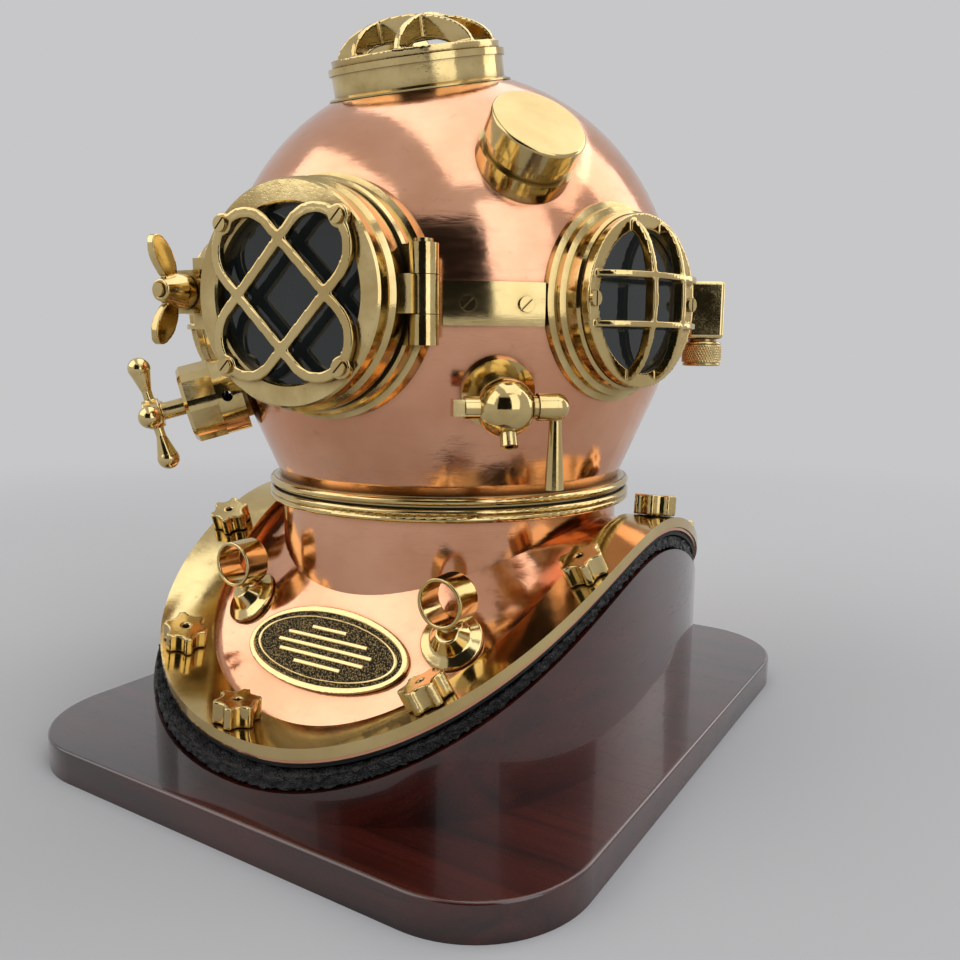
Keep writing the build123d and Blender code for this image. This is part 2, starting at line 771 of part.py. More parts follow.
def make_neck_rings():
    """Lower ring on the collar, upper ring on the bonnet, and the gasket between."""
    floor = COLLAR_TOP + RING_FLOOR
    skirt_end = floor + SEAT_GAP
    thread_low = skirt_end
    thread_high = thread_low + THREAD_HEIGHT + THREAD_GAP
    bore = COLLAR_RADIUS - COPPER_WALL
    gasket_low = JOINT_HEIGHT - NECK_GASKET
    with BuildPart() as lower:
        spin(
            Plane.XY,
            [
                (bore, COLLAR_TOP),
                (RING_OUTER, COLLAR_TOP),
                (RING_OUTER, gasket_low),
                (RING_BORE, gasket_low),
                (RING_BORE, floor),
                (bore, floor),
            ],
        )
        for height in LOWER_BEADS:
            bead(height)
        add(thread_segments(RING_BORE + BEAD_RISE, SKIRT_OUTER + SEAT_GAP, thread_high, 0))
    keep(lower, "lower_neck_ring")
    with BuildPart() as gasket:
        tube(Plane.XY, RING_OUTER - BEAD_RISE, RING_OUTER - NECK_GASKET_WIDTH, gasket_low, JOINT_HEIGHT)
    keep(gasket, "neck_gasket")
    skirt_inner = SKIRT_OUTER - SKIRT_WALL
    top = JOINT_HEIGHT + SEAT_GAP
    with BuildPart() as upper:
        spin(
            Plane.XY,
            [
                (skirt_inner, skirt_end),
                (SKIRT_OUTER, skirt_end),
                (SKIRT_OUTER, top),
                (RING_OUTER, top),
                (RING_OUTER, NECK_TOP),
                (skirt_inner, NECK_TOP),
            ],
        )
        for height in UPPER_BEADS:
            bead(height)
        add(thread_segments(SKIRT_OUTER + THREAD_DEPTH, SKIRT_OUTER - BEAD_RISE, thread_low, BONNET_YAW))
    keep(upper, "upper_neck_ring")


def bead(height):
    """Round bead about a neck ring."""
    with BuildSketch(Plane.XZ, mode=Mode.PRIVATE) as section:
        with Locations((RING_OUTER + BEAD_RISE, height)):
            Circle(BEAD_RADIUS)
    revolve(section.sketch, axis=Axis.Z)


def dome_solid(shrink):
    """Ball on its tangent cone, down to the neck ring."""
    radius = DOME_RADIUS - shrink
    slope = asin(CONE_DROP / DOME_RADIUS)
    knee_r = radius * cos(slope)
    knee_z = DOME_HEIGHT - radius * sin(slope)
    foot_r = knee_r - (knee_z - NECK_TOP) * tan(slope)
    with BuildPart() as dome:
        with BuildSketch(Plane.XZ):
            with BuildLine():
                CenterArc((0, DOME_HEIGHT), radius, -degrees(slope), QUARTER_TURN + degrees(slope))
                Polyline((0, DOME_HEIGHT + radius), (0, NECK_TOP), (foot_r, NECK_TOP), (knee_r, knee_z))
            make_face()
        revolve(axis=Axis.Z)
    return dome.part


def clear_dome():
    """Trims a fitting to sit on the dome."""
    add(DOME_BODY, mode=Mode.SUBTRACT)


DOME_BODY = dome_solid(-FIT_GAP)


def make_dome():
    """Copper bonnet shell with its openings."""
    with BuildPart() as shell:
        add(dome_solid(0))
        add(dome_solid(DOME_WALL), mode=Mode.SUBTRACT)
        for plane, radius in (
            (FRONT, FRAME_BORE),
            (LEFT, SIDE_BORE),
            (RIGHT, SIDE_BORE),
            (TOP, TOP_BORE),
            (EXHAUST, EXHAUST_SEAT_BORE + DISC_STEM_RADIUS),
            (SPIT, SPIT_OUTLET_BORE),
            (CUP, SPEAKER_RADIUS / 2),
        ):
            rod(plane, radius, DOME_RADIUS / 2, DOME_RADIUS + OVERRUN, mode=Mode.SUBTRACT)
        for plane in (AIR, PHONE):
            rod(plane, ELBOW_BORE, DOME_RADIUS / 2, DOME_RADIUS + OVERRUN, up=ELBOW_SHIFT, mode=Mode.SUBTRACT)
    keep(shell, "dome_shell")


def hinge_plane(height):
    """Level plane through the hinge line at a height from the door's centre."""
    foot = moved(FRONT, HINGE_X, height, HINGE_REACH)
    return Plane(origin=foot.origin, x_dir=FRONT.x_dir, z_dir=(0, 0, 1))


def make_front_frame():
    """Front window frame with its hinge knuckles and clamp lug."""
    with BuildPart() as frame:
        spin(
            FRONT,
            [
                (FRAME_BORE, DOME_RADIUS / 2),
                (FRAME_FOOT_RADIUS, DOME_RADIUS / 2),
                (FRAME_FOOT_RADIUS, FRAME_FOOT_REACH),
                (FRAME_RADIUS, FRAME_FOOT_REACH + FRAME_EDGE),
                (FRAME_RADIUS, FRAME_REACH - FRAME_EDGE),
                (FRAME_RADIUS - FRAME_EDGE, FRAME_REACH),
                (FRAME_BORE, FRAME_REACH),
            ],
        )
        for side in (-1, 1):
            low = KNUCKLE_HALF + KNUCKLE_GAP
            near, far = sorted((side * low, side * KNUCKLE_TOP))
            block(FRONT, HINGE_WEB_IN, HINGE_X, near, far, HINGE_WEB_REACH - OVERRUN, FRAME_REACH)
            rod(hinge_plane(near), KNUCKLE_RADIUS, 0, far - near)
        rod(
            hinge_plane(-KNUCKLE_HALF - KNUCKLE_GAP),
            KNUCKLE_RADIUS + NOTCH_GAP,
            0,
            2 * (KNUCKLE_HALF + KNUCKLE_GAP),
            mode=Mode.SUBTRACT,
        )
        rod(hinge_plane(-KNUCKLE_TOP), HINGE_PIN_RADIUS + RUN_GAP, 0, 2 * KNUCKLE_TOP, mode=Mode.SUBTRACT)
        block(
            FRONT,
            CLAMP_X - CLAMP_LUG_HALF_WIDTH,
            CLAMP_LUG_IN,
            CLAMP_Y - CLAMP_LUG_HALF_HEIGHT,
            CLAMP_Y + CLAMP_LUG_HALF_HEIGHT,
            CLAMP_LUG_REACH,
            FRAME_REACH,
        )
        rod(
            FRONT,
            CLAMP_SOCKET_RADIUS,
            CLAMP_SOCKET_REACH,
            FRAME_REACH,
            across=CLAMP_X,
            up=CLAMP_Y,
            mode=Mode.SUBTRACT,
        )
        clear_dome()
        rod(FRONT, FRAME_BORE, 0, FRAME_REACH, mode=Mode.SUBTRACT)
        block(
            FRONT,
            -DOME_RADIUS,
            DOME_RADIUS,
            -DOME_RADIUS,
            DOME_RADIUS,
            0,
            DOME_RADIUS / 2 + OVERRUN,
            mode=Mode.SUBTRACT,
        )
    keep(frame, "front_window_frame")
    with BuildPart() as pin:
        rod(hinge_plane(-KNUCKLE_TOP), HINGE_PIN_RADIUS, 0, 2 * KNUCKLE_TOP)
        rod(hinge_plane(KNUCKLE_TOP), HINGE_PIN_HEAD, 0, HINGE_PIN_HEAD_HEIGHT)
    keep(pin, "hinge_pin")


DOOR_SEAT = FRAME_REACH + SEAT_GAP
DOOR_BACK = DOOR_SEAT + DOOR_GASKET_THICKNESS
GLASS_FRONT = DOOR_FACE - DOOR_LIP
GLASS_BACK = GLASS_FRONT - GLASS_THICKNESS


def make_door():
    """Hinged door: ring, gasket, glass and its retaining ring."""
    rim = DOOR_RADIUS - DOOR_STEP
    with BuildPart() as ring:
        spin(
            FRONT,
            [
                (GLASS_POCKET, DOOR_BACK),
                (DOOR_RADIUS, DOOR_BACK),
                (DOOR_RADIUS, DOOR_STEP_REACH),
                (rim, DOOR_STEP_REACH + DOOR_STEP),
                (rim, DOOR_FACE - DOOR_FACE_EDGE),
                (rim - DOOR_FACE_EDGE, DOOR_FACE),
                (DOOR_BORE + DOOR_FACE_EDGE, DOOR_FACE),
                (DOOR_BORE, DOOR_FACE - DOOR_FACE_EDGE),
                (DOOR_BORE, GLASS_FRONT),
                (GLASS_POCKET, GLASS_FRONT),
            ],
        )
        web_top = DOOR_BACK + DOOR_WEB_THICKNESS
        block(FRONT, HINGE_WEB_IN, HINGE_X, -KNUCKLE_HALF, KNUCKLE_HALF, DOOR_BACK, web_top)
        rod(hinge_plane(-KNUCKLE_HALF), KNUCKLE_RADIUS, 0, 2 * KNUCKLE_HALF)
        rod(
            hinge_plane(-KNUCKLE_HALF),
            HINGE_PIN_RADIUS + RUN_GAP,
            0,
            2 * KNUCKLE_HALF,
            mode=Mode.SUBTRACT,
        )
        block(
            FRONT,
            CLAMP_X - CLAMP_LUG_HALF_WIDTH,
            CLAMP_LUG_IN,
            CLAMP_Y - DOOR_LUG_HALF_HEIGHT,
            CLAMP_Y + DOOR_LUG_HALF_HEIGHT,
            DOOR_BACK,
            DOOR_LUG_REACH,
        )
        rod(
            FRONT,
            CLAMP_BOLT_RADIUS + RUN_GAP,
            DOOR_SEAT,
            DOOR_LUG_REACH,
            across=CLAMP_X,
            up=CLAMP_Y,
            mode=Mode.SUBTRACT,
        )
    keep(ring, "door_ring")
    with BuildPart() as gasket:
        tube(FRONT, DOOR_GASKET_OUTER, DOOR_GASKET_INNER, DOOR_SEAT, DOOR_BACK)
    keep(gasket, "door_gasket")
    with BuildPart() as glass:
        rod(FRONT, GLASS_RADIUS, GLASS_BACK, GLASS_FRONT)
    keep(glass, "door_glass")
    with BuildPart() as retainer:
        tube(FRONT, GLASS_RADIUS, RETAINER_BORE, DOOR_BACK, GLASS_BACK)
    keep(retainer, "door_retaining_ring")


def stadium_ring(turn):
    """Ring of a bar bent to a stadium about the centre, in a sketch."""
    outer = GUARD_HALF_WIDTH + GUARD_BAR / 2
    inner = GUARD_HALF_WIDTH - GUARD_BAR / 2
    with BuildSketch(mode=Mode.PRIVATE) as ring:
        SlotCenterToCenter(2 * GUARD_END, 2 * outer, rotation=turn)
        SlotCenterToCenter(2 * GUARD_END, 2 * inner, rotation=turn, mode=Mode.SUBTRACT)
    return ring.sketch


def make_door_guard():
    """Two crossed stadium rings with four lugs, and their screws."""
    corners = [(x * GUARD_LUG_PLACE, y * GUARD_LUG_PLACE) for x in (-1, 1) for y in (-1, 1)]
    with BuildPart() as guard:
        with BuildSketch(FRONT.offset(DOOR_FACE)):
            add(stadium_ring(GUARD_ANGLE))
            add(stadium_ring(-GUARD_ANGLE))
        extrude(amount=GUARD_THICKNESS)
        for across, up in corners:
            rod(FRONT, GUARD_LUG_RADIUS, DOOR_FACE, DOOR_FACE + GUARD_THICKNESS, across, up)
    keep(guard, "door_guard")
    seat = DOOR_FACE + GUARD_THICKNESS
    with BuildPart() as screws:
        for across, up in corners:
            screw(moved(FRONT, across, up, seat), GUARD_ANGLE)
    keep(screws, "door_guard_screws")


def screw(plane, turn):
    """Slotted screw head on a plane."""
    with BuildSketch(plane, mode=Mode.PRIVATE) as head:
        Circle(SCREW_RADIUS)
    extrude(head.sketch, amount=SCREW_HEIGHT)
    with BuildSketch(plane.offset(SCREW_HEIGHT), mode=Mode.PRIVATE) as slot:
        Rectangle(2 * SCREW_RADIUS + SCREW_HEIGHT, SCREW_SLOT, rotation=turn)
    extrude(slot.sketch, amount=-SCREW_SLOT_DEPTH, mode=Mode.SUBTRACT)


def make_clamp():
    """Captive wing screw that holds the door shut."""
    hub_start = DOOR_LUG_REACH + SEAT_GAP
    hub_end = hub_start + WING_HUB_LENGTH
    line = moved(FRONT, CLAMP_X, CLAMP_Y, 0)
    with BuildPart() as bolt:
        rod(line, CLAMP_BOLT_RADIUS, CLAMP_BOLT_TIP, hub_end + WING_BOLT_END)
    keep(bolt, "clamp_bolt")
    with BuildPart() as nut:
        spin(
            line,
            [
                (0, hub_start),
                (WING_HUB_RADIUS, hub_start),
                (WING_HUB_RADIUS, hub_start + WING_HUB_NOSE),
                (WING_HUB_NOSE, hub_end),
                (0, hub_end),
            ],
        )
        for side in (-1, 1):
            with BuildSketch(end_of(line), mode=Mode.PRIVATE) as wing:
                with Locations((side * WING_PLACE, WING_REACH)):
                    Ellipse(WING_LONG, WING_SHORT, rotation=side * WING_TILT)
            extrude(wing.sketch, amount=WING_THICKNESS / 2, both=True)
        rod(line, CLAMP_BOLT_RADIUS + RUN_GAP, hub_start - OVERRUN, hub_end + OVERRUN, mode=Mode.SUBTRACT)
    keep(nut, "wing_nut")


def guard_bars(plane, half_span, face, rise, place, depths):
    """Two bars each way across a window, each bowed outwards in half an oval."""
    for side, depth in ((side_of(plane), depths[0]), (end_of(plane), depths[1])):
        with BuildSketch(side, mode=Mode.PRIVATE) as bow:
            with Locations((0, face)):
                Ellipse(half_span, rise)
                Ellipse(half_span - depth, rise - depth, mode=Mode.SUBTRACT)
                Rectangle(
                    2 * half_span,
                    2 * rise,
                    align=(Align.CENTER, Align.MAX),
                    mode=Mode.SUBTRACT,
                )
        for offset in (-place, place):
            extrude(
                bow.sketch.moved(Location(side.z_dir * (offset - BAR_THICKNESS / 2))),
                amount=BAR_THICKNESS,
            )


def make_side_windows():
    """Left and right windows: frame, glass and barred guard."""
    glass_back = SIDE_SEAT - SIDE_GLASS_THICKNESS
    pocket = SIDE_GLASS_RADIUS + FIT_GAP
    for side, plane in (("left", LEFT), ("right", RIGHT)):
        with BuildPart() as frame:
            spin(
                plane,
                [
                    (SIDE_BORE, DOME_RADIUS / 2),
                    (SIDE_FOOT_RADIUS, DOME_RADIUS / 2),
                    (SIDE_FOOT_RADIUS, SIDE_FOOT_REACH),
                    (SIDE_BODY_RADIUS, SIDE_FOOT_REACH + SIDE_GROOVE),
                    (SIDE_BODY_RADIUS, SIDE_STEP_REACH),
                    (SIDE_NECK_RADIUS, SIDE_STEP_REACH + SIDE_GROOVE),
                    (SIDE_NECK_RADIUS, SIDE_SEAT - SIDE_GROOVE),
                    (SIDE_NECK_RADIUS - SIDE_GROOVE, SIDE_SEAT),
                    (pocket, SIDE_SEAT),
                    (pocket, glass_back),
                    (SIDE_BORE, glass_back),
                ],
            )
            clear_dome()
        keep(frame, f"{side}_window_frame")
        with BuildPart() as glass:
            rod(plane, SIDE_GLASS_RADIUS, glass_back, SIDE_SEAT)
        keep(glass, f"{side}_window_glass")
        with BuildPart() as guard:
            tube(plane, SIDE_FACE_RADIUS, SIDE_BORE, SIDE_SEAT, SIDE_FACE)
            guard_bars(
                plane,
                (SIDE_BORE + SIDE_FACE_RADIUS) / 2,
                SIDE_FACE - OVERRUN / 4,
                SIDE_BAR_RISE,
                SIDE_BAR_PLACE,
                (SIDE_BLADE_DEPTH, SIDE_BAR_DEPTH),
            )
        keep(guard, f"{side}_window_guard")


def make_top_window():
    """Top window: frame, glass and deep arched guard."""
    glass_back = TOP_SEAT - TOP_GLASS_THICKNESS
    pocket = TOP_GLASS_RADIUS + FIT_GAP
    with BuildPart() as frame:
        spin(
            TOP,
            [
                (TOP_BORE, DOME_RADIUS / 2),
                (TOP_FOOT_RADIUS, DOME_RADIUS / 2),
                (TOP_FOOT_RADIUS, TOP_FOOT_REACH),
                (TOP_BODY_RADIUS, TOP_FOOT_REACH + SIDE_GROOVE),
                (TOP_BODY_RADIUS, TOP_SEAT - TOP_RIM_HEIGHT),
                (TOP_RIM_RADIUS, TOP_SEAT - TOP_RIM_HEIGHT),
                (TOP_RIM_RADIUS, TOP_SEAT),
                (pocket, TOP_SEAT),
                (pocket, glass_back),
                (TOP_BORE, glass_back),
            ],
        )
        clear_dome()
    keep(frame, "top_window_frame")
    with BuildPart() as glass:
        rod(TOP, TOP_GLASS_RADIUS, glass_back, TOP_SEAT)
    keep(glass, "top_window_glass")
    with BuildPart() as guard:
        tube(TOP, TOP_BODY_RADIUS - SIDE_GROOVE, TOP_BORE, TOP_SEAT, TOP_FACE)
        guard_bars(
            TOP,
            (TOP_BORE + TOP_BODY_RADIUS) / 2,
            TOP_FACE - OVERRUN / 4,
            TOP_BAR_RISE,
            TOP_BAR_PLACE,
            (TOP_BAR_DEPTH, TOP_BAR_DEPTH),
        )
    keep(guard, "top_window_guard")


def make_strap():
    """Curved strap between the hinge and the left window, and the slotted screws of the bonnet."""
    face = DOME_RADIUS + FIT_GAP
    shell = face + STRAP_THICKNESS
    with BuildPart() as strap:
        with BuildSketch(STRAP.offset(DOME_RADIUS / 2)):
            Rectangle(2 * STRAP_HALF_LENGTH, 2 * STRAP_HALF_HEIGHT)
        extrude(amount=DOME_RADIUS)
        with Locations((0, 0, DOME_HEIGHT)):
            Sphere(shell, mode=Mode.INTERSECT)
        ball((0, 0, DOME_HEIGHT), face, mode=Mode.SUBTRACT)
    keep(strap, "strap_plate")
    with BuildPart() as screws:
        for side in (-1, 1):
            shift = side * STRAP_SCREW_PLACE + STRAP_SCREW_SHIFT
            swing = degrees(shift / shell)
            screw(facing(STRAP_BEARING + swing, STRAP_RISE).offset(shell), GUARD_ANGLE)
            for plane in (LEFT, RIGHT):
                screw(moved(plane, side * SIDE_SCREW_PLACE, 0, SIDE_FACE), QUARTER_TURN)
    keep(screws, "bonnet_screws")


def make_exhaust():
    """Exhaust valve: body, cover, disc with chin button, spring and cross handle."""
    guide_end = EXHAUST_SEAT_REACH - OVERRUN
    with BuildPart() as body:
        rod(EXHAUST, EXHAUST_FOOT_RADIUS, DOME_RADIUS / 2, EXHAUST_FOOT_REACH)
        rod(EXHAUST, EXHAUST_BODY_RADIUS, EXHAUST_FOOT_REACH, EXHAUST_BODY_REACH)
        clear_dome()
        rod(EXHAUST, EXHAUST_BORE, EXHAUST_SEAT_REACH, EXHAUST_BODY_REACH, mode=Mode.SUBTRACT)
        rod(EXHAUST, EXHAUST_SEAT_BORE, DOME_RADIUS / 2, EXHAUST_SEAT_REACH, mode=Mode.SUBTRACT)
        tube(EXHAUST, EXHAUST_SEAT_BORE / 2 + RUN_GAP, GUIDE_RADIUS, guide_end, EXHAUST_SEAT_REACH - SEAT_GAP)
        block(
            EXHAUST,
            -EXHAUST_SEAT_BORE - FIT_GAP,
            EXHAUST_SEAT_BORE + FIT_GAP,
            -GUIDE_RADIUS / 2,
            GUIDE_RADIUS / 2,
            EXHAUST_SEAT_REACH - OVERRUN / 2,
            EXHAUST_SEAT_REACH - SEAT_GAP,
        )
        rod(EXHAUST, GUIDE_RADIUS, DOME_RADIUS / 2, EXHAUST_BODY_REACH, mode=Mode.SUBTRACT)
        level = Plane(
            origin=EXHAUST.origin + EXHAUST.z_dir * EXHAUST_PORT_REACH,
            x_dir=EXHAUST.x_dir,
            z_dir=EXHAUST.z_dir,
        )
        for step in range(EXHAUST_PORTS // 2):
            turned = level.rotated((0, 0, HALF_TURN * step / (EXHAUST_PORTS // 2)))
            across = Plane(origin=level.origin, x_dir=level.z_dir, z_dir=turned.x_dir)
            with BuildSketch(across, mode=Mode.PRIVATE) as port:
                Circle(EXHAUST_PORT_RADIUS)
            extrude(port.sketch, amount=EXHAUST_COVER_RADIUS, both=True, mode=Mode.SUBTRACT)
    keep(body, "exhaust_body")
    cover_floor = EXHAUST_COVER_REACH - OVERRUN
    with BuildPart() as cover:
        with BuildSketch(EXHAUST.offset(EXHAUST_BODY_REACH)):
            RegularPolygon(EXHAUST_COVER_RADIUS, EXHAUST_FLATS)
        extrude(amount=EXHAUST_COVER_REACH - EXHAUST_BODY_REACH)
        tube(
            EXHAUST,
            EXHAUST_COVER_RADIUS * 2,
            EXHAUST_BODY_RADIUS + FIT_GAP,
            EXHAUST_BODY_REACH,
            EXHAUST_COVER_REACH,
            mode=Mode.SUBTRACT,
        )
        chamfer(cover.faces().sort_by(Axis(EXHAUST.origin, EXHAUST.z_dir))[-1].edges(), EXHAUST_COVER_EDGE)
        rod(EXHAUST, EXHAUST_BORE, EXHAUST_BODY_REACH, cover_floor, mode=Mode.SUBTRACT)
        rod(
            EXHAUST,
            HANDLE_SCREW_RADIUS + RUN_GAP,
            EXHAUST_BODY_REACH,
            EXHAUST_COVER_REACH,
            mode=Mode.SUBTRACT,
        )
    keep(cover, "exhaust_cover")
    disc_start = EXHAUST_SEAT_REACH + SEAT_GAP
    disc_end = disc_start + DISC_THICKNESS
    with BuildPart() as disc:
        rod(EXHAUST, DISC_RADIUS, disc_start, disc_end)
        rod(EXHAUST, DISC_STEM_RADIUS, CHIN_REACH, disc_start)
        rod(EXHAUST, CHIN_RADIUS, CHIN_REACH - CHIN_THICKNESS, CHIN_REACH)
    keep(disc, "exhaust_disc")
    spring_length = HANDLE_SCREW_START - SEAT_GAP - DISC_TRAVEL - disc_end
    pitch = (spring_length - 2 * SPRING_WIRE) / SPRING_TURNS
    coil_start = EXHAUST.origin + EXHAUST.z_dir * (disc_end + SPRING_WIRE)
    with BuildPart() as spring:
        with BuildLine():
            coil = Helix(
                pitch,
                pitch * SPRING_TURNS,
                SPRING_RADIUS,
                center=tuple(coil_start),
                direction=tuple(EXHAUST.z_dir),
            )
        with BuildSketch(Plane(origin=coil @ 0, z_dir=coil % 0)):
            Circle(SPRING_WIRE)
        sweep(path=coil, is_frenet=True)
    keep(spring, "exhaust_spring")
    with BuildPart() as handle:
        rod(EXHAUST, HANDLE_SCREW_RADIUS, HANDLE_SCREW_START, HANDLE_HUB_START)
        rod(EXHAUST, HANDLE_HUB_RADIUS, HANDLE_HUB_START, HANDLE_HUB_END)
        middle = (HANDLE_HUB_START + HANDLE_HUB_END) / 2
        centre = EXHAUST.origin + EXHAUST.z_dir * middle
        for step in range(HANDLE_ARMS):
            turn = radians(2 * HALF_TURN * step / HANDLE_ARMS)
            way = EXHAUST.x_dir * sin(turn) + EXHAUST.y_dir * cos(turn)
            arm = Plane(origin=centre, x_dir=EXHAUST.z_dir, z_dir=way)
            tip = HANDLE_ARM - HANDLE_KNOB_RADIUS
            spin(
                arm,
                [
                    (0, 0),
                    (HANDLE_ARM_RADIUS, 0),
                    (HANDLE_ARM_RADIUS, tip / 2),
                    (HANDLE_KNOB_RADIUS, tip),
                    (0, tip),
                ],
            )
            ball(tuple(centre + way * tip), HANDLE_KNOB_RADIUS)
    keep(handle, "exhaust_handle")


def make_spitcock():
    """Spitcock: body with its ball, plug and hanging lever."""
    centre = SPIT.origin + SPIT.z_dir * SPIT_BALL_REACH
    level = Plane(origin=centre, x_dir=SPIT.x_dir, z_dir=(0, 0, 1))
    across = Plane(origin=centre, x_dir=(0, 0, 1), z_dir=SPIT.x_dir)
    lean = radians(SPIT_OUTLET_LEAN)
    outwards = SPIT.x_dir.cross(Vector(0, 0, 1))
    outlet_way = Vector(0, 0, -cos(lean)) + outwards * sin(lean)
    outlet = Plane(origin=centre, x_dir=SPIT.x_dir, z_dir=outlet_way)
    with BuildPart() as body:
        rod(SPIT, SPIT_FOOT_RADIUS, DOME_RADIUS / 2, SPIT_FOOT_REACH)
        clear_dome()
        rod(SPIT, SPIT_NECK_RADIUS, SPIT_FOOT_REACH - SEAT_GAP, SPIT_BALL_REACH)
        ball(tuple(centre), SPIT_BALL_RADIUS)
        rod(outlet, SPIT_OUTLET_RADIUS, 0, SPIT_OUTLET_LENGTH)
        rod(outlet, SPIT_OUTLET_BORE, 0, SPIT_OUTLET_LENGTH, mode=Mode.SUBTRACT)
        rod(SPIT, SPIT_OUTLET_BORE, DOME_RADIUS / 2, SPIT_BALL_REACH, mode=Mode.SUBTRACT)
        rod(
            across,
            SPIT_PLUG_RADIUS + RUN_GAP,
            -SPIT_BALL_RADIUS - OVERRUN,
            SPIT_BALL_RADIUS + OVERRUN,
            mode=Mode.SUBTRACT,
        )
    keep(body, "spitcock_body")
    half = SPIT_SQUARE / 2
    with BuildPart() as plug:
        rod(across, SPIT_PLUG_RADIUS, SPIT_PLUG_LEFT, SPIT_KNUCKLE_X - SPIT_KNUCKLE_RADIUS)
        block(across, -half, half, -half, half, SPIT_SQUARE_END, SPIT_PLUG_LEFT)
    keep(plug, "spitcock_plug")
    knuckle = centre + SPIT.x_dir * SPIT_KNUCKLE_X
    hang = Plane(origin=knuckle, x_dir=SPIT.x_dir, z_dir=(0, 0, -1))
    with BuildPart() as lever:
        ball(tuple(knuckle), SPIT_KNUCKLE_RADIUS)
        rod(across, SPIT_KNUCKLE_RADIUS - RUN_GAP, SPIT_COLLAR_X, SPIT_KNUCKLE_X)
        spin(
            hang,
            [
                (0, 0),
                (SPIT_LEVER_TOP, 0),
                (SPIT_LEVER_TOP, SPIT_KNUCKLE_RADIUS),
                (SPIT_LEVER_FOOT, SPIT_LEVER_LENGTH),
                (0, SPIT_LEVER_LENGTH),
            ],
        )
        add(plug.part, mode=Mode.SUBTRACT)
    keep(lever, "spitcock_lever")


def make_receiver():
    """Telephone receiver cup: body, screwed cap and the speaker inside."""
    with BuildPart() as cup:
        rod(CUP, CUP_FOOT_RADIUS, DOME_RADIUS / 2, CUP_FOOT_REACH)
        rod(CUP, CUP_RADIUS, DOME_RADIUS / 2, CUP_CAP_START)
        rod(CUP, CUP_RADIUS - CUP_WALL, DOME_RADIUS - OVERRUN, CUP_CAP_START, mode=Mode.SUBTRACT)
        rod(
            CUP,
            CONDUIT_RADIUS,
            DOME_RADIUS / 2,
            CONDUIT_REACH,
            across=CONDUIT_X,
            up=CONDUIT_Y,
        )
        ball(Location(moved(CUP, CONDUIT_X, CONDUIT_Y, CONDUIT_REACH).origin), CONDUIT_RADIUS)
        rod(CUP, CUP_RADIUS - CUP_WALL, DOME_RADIUS - OVERRUN, CUP_CAP_START, mode=Mode.SUBTRACT)
        clear_dome()
    keep(cup, "receiver_cup")
    with BuildPart() as cap:
        rod(CUP, CUP_CAP_RADIUS, CUP_CAP_START, CUP_CAP_FACE)
        fillet(cap.faces().sort_by(Axis(CUP.origin, CUP.z_dir))[-1].edges(), CUP_CAP_EDGE)
        rod(
            CUP,
            CUP_CAP_RADIUS - CUP_CAP_WALL,
            CUP_CAP_START,
            CUP_CAP_FACE - CUP_CAP_WALL,
            mode=Mode.SUBTRACT,
        )
    keep(cap, "receiver_cap")
    with BuildPart() as speaker:
        end = CUP_CAP_FACE - CUP_CAP_WALL
        rod(CUP, SPEAKER_RADIUS, end - SPEAKER_THICKNESS, end)
    keep(speaker, "receiver_speaker")


def make_elbows():
    """Air supply and telephone elbows with their union caps, and the air non-return valve."""
    spots = (
        ("air_elbow", "air_union_cap", AIR),
        ("phone_elbow", "phone_union_cap", PHONE),
    )
    for elbow_name, cap_name, plane in spots:
        middle = (ELBOW_NEAR + ELBOW_FAR) / 2
        mouth = moved(plane, 0, 0, middle)
        down = Plane(origin=mouth.origin, x_dir=plane.x_dir, z_dir=(0, 0, 1))
        half = (ELBOW_FAR - ELBOW_NEAR) / 2
        with BuildPart() as elbow:
            block(
                down,
                -ELBOW_HALF_WIDTH,
                ELBOW_HALF_WIDTH,
                -half,
                half,
                ELBOW_BOTTOM,
                ELBOW_TOP,
            )
            fillet(elbow.edges(), ELBOW_EDGE)
            rod(plane, ELBOW_STUB_RADIUS, DOME_RADIUS / 2, middle, up=ELBOW_SHIFT)
            rod(plane, ELBOW_FOOT_RADIUS, DOME_RADIUS / 2, ELBOW_FOOT_REACH, up=ELBOW_SHIFT)
            clear_dome()
            rod(down, ELBOW_SPIGOT_RADIUS, ELBOW_SPIGOT_END, ELBOW_BOTTOM + ELBOW_EDGE)
            rod(plane, ELBOW_BORE, DOME_RADIUS / 2, middle, up=ELBOW_SHIFT, mode=Mode.SUBTRACT)
            rod(down, ELBOW_BORE, ELBOW_SPIGOT_END, ELBOW_SHIFT, mode=Mode.SUBTRACT)
        keep(elbow, elbow_name)
        with BuildPart() as cap:
            with BuildSketch(down.offset(UNION_BOTTOM)):
                Circle(UNION_RADIUS)
                with PolarLocations(UNION_RADIUS, UNION_NOTCHES):
                    Circle(UNION_NOTCH, mode=Mode.SUBTRACT)
            extrude(amount=UNION_TOP - UNION_BOTTOM)
            rod(down, UNION_BORE, ELBOW_SPIGOT_END - SEAT_GAP, UNION_TOP, mode=Mode.SUBTRACT)
            rod(down, UNION_MOUTH, UNION_BOTTOM, UNION_TOP, mode=Mode.SUBTRACT)
        keep(cap, cap_name)
        if plane is AIR:
            with BuildPart() as valve:
                start = ELBOW_BOTTOM
                rod(down, VALVE_RADIUS, start, start + VALVE_LENGTH)
                rod(down, VALVE_STEM_RADIUS, start - VALVE_LENGTH, start)
            keep(valve, "non_return_valve")


make_board()
make_plinth()
make_flange()
make_breastplate()
make_lashing_eyes()
make_name_plate()
make_neck_rings()
make_dome()
make_front_frame()
make_door()
make_door_guard()
make_clamp()
make_side_windows()
make_top_window()
make_strap()
make_exhaust()
make_spitcock()
make_receiver()
make_elbows()
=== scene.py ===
"""Looks of a copper and brass diving helmet on its wooden stand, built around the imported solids."""

import json
import math

import bmesh
import bpy
import numpy as np
from mathutils import Matrix, Vector

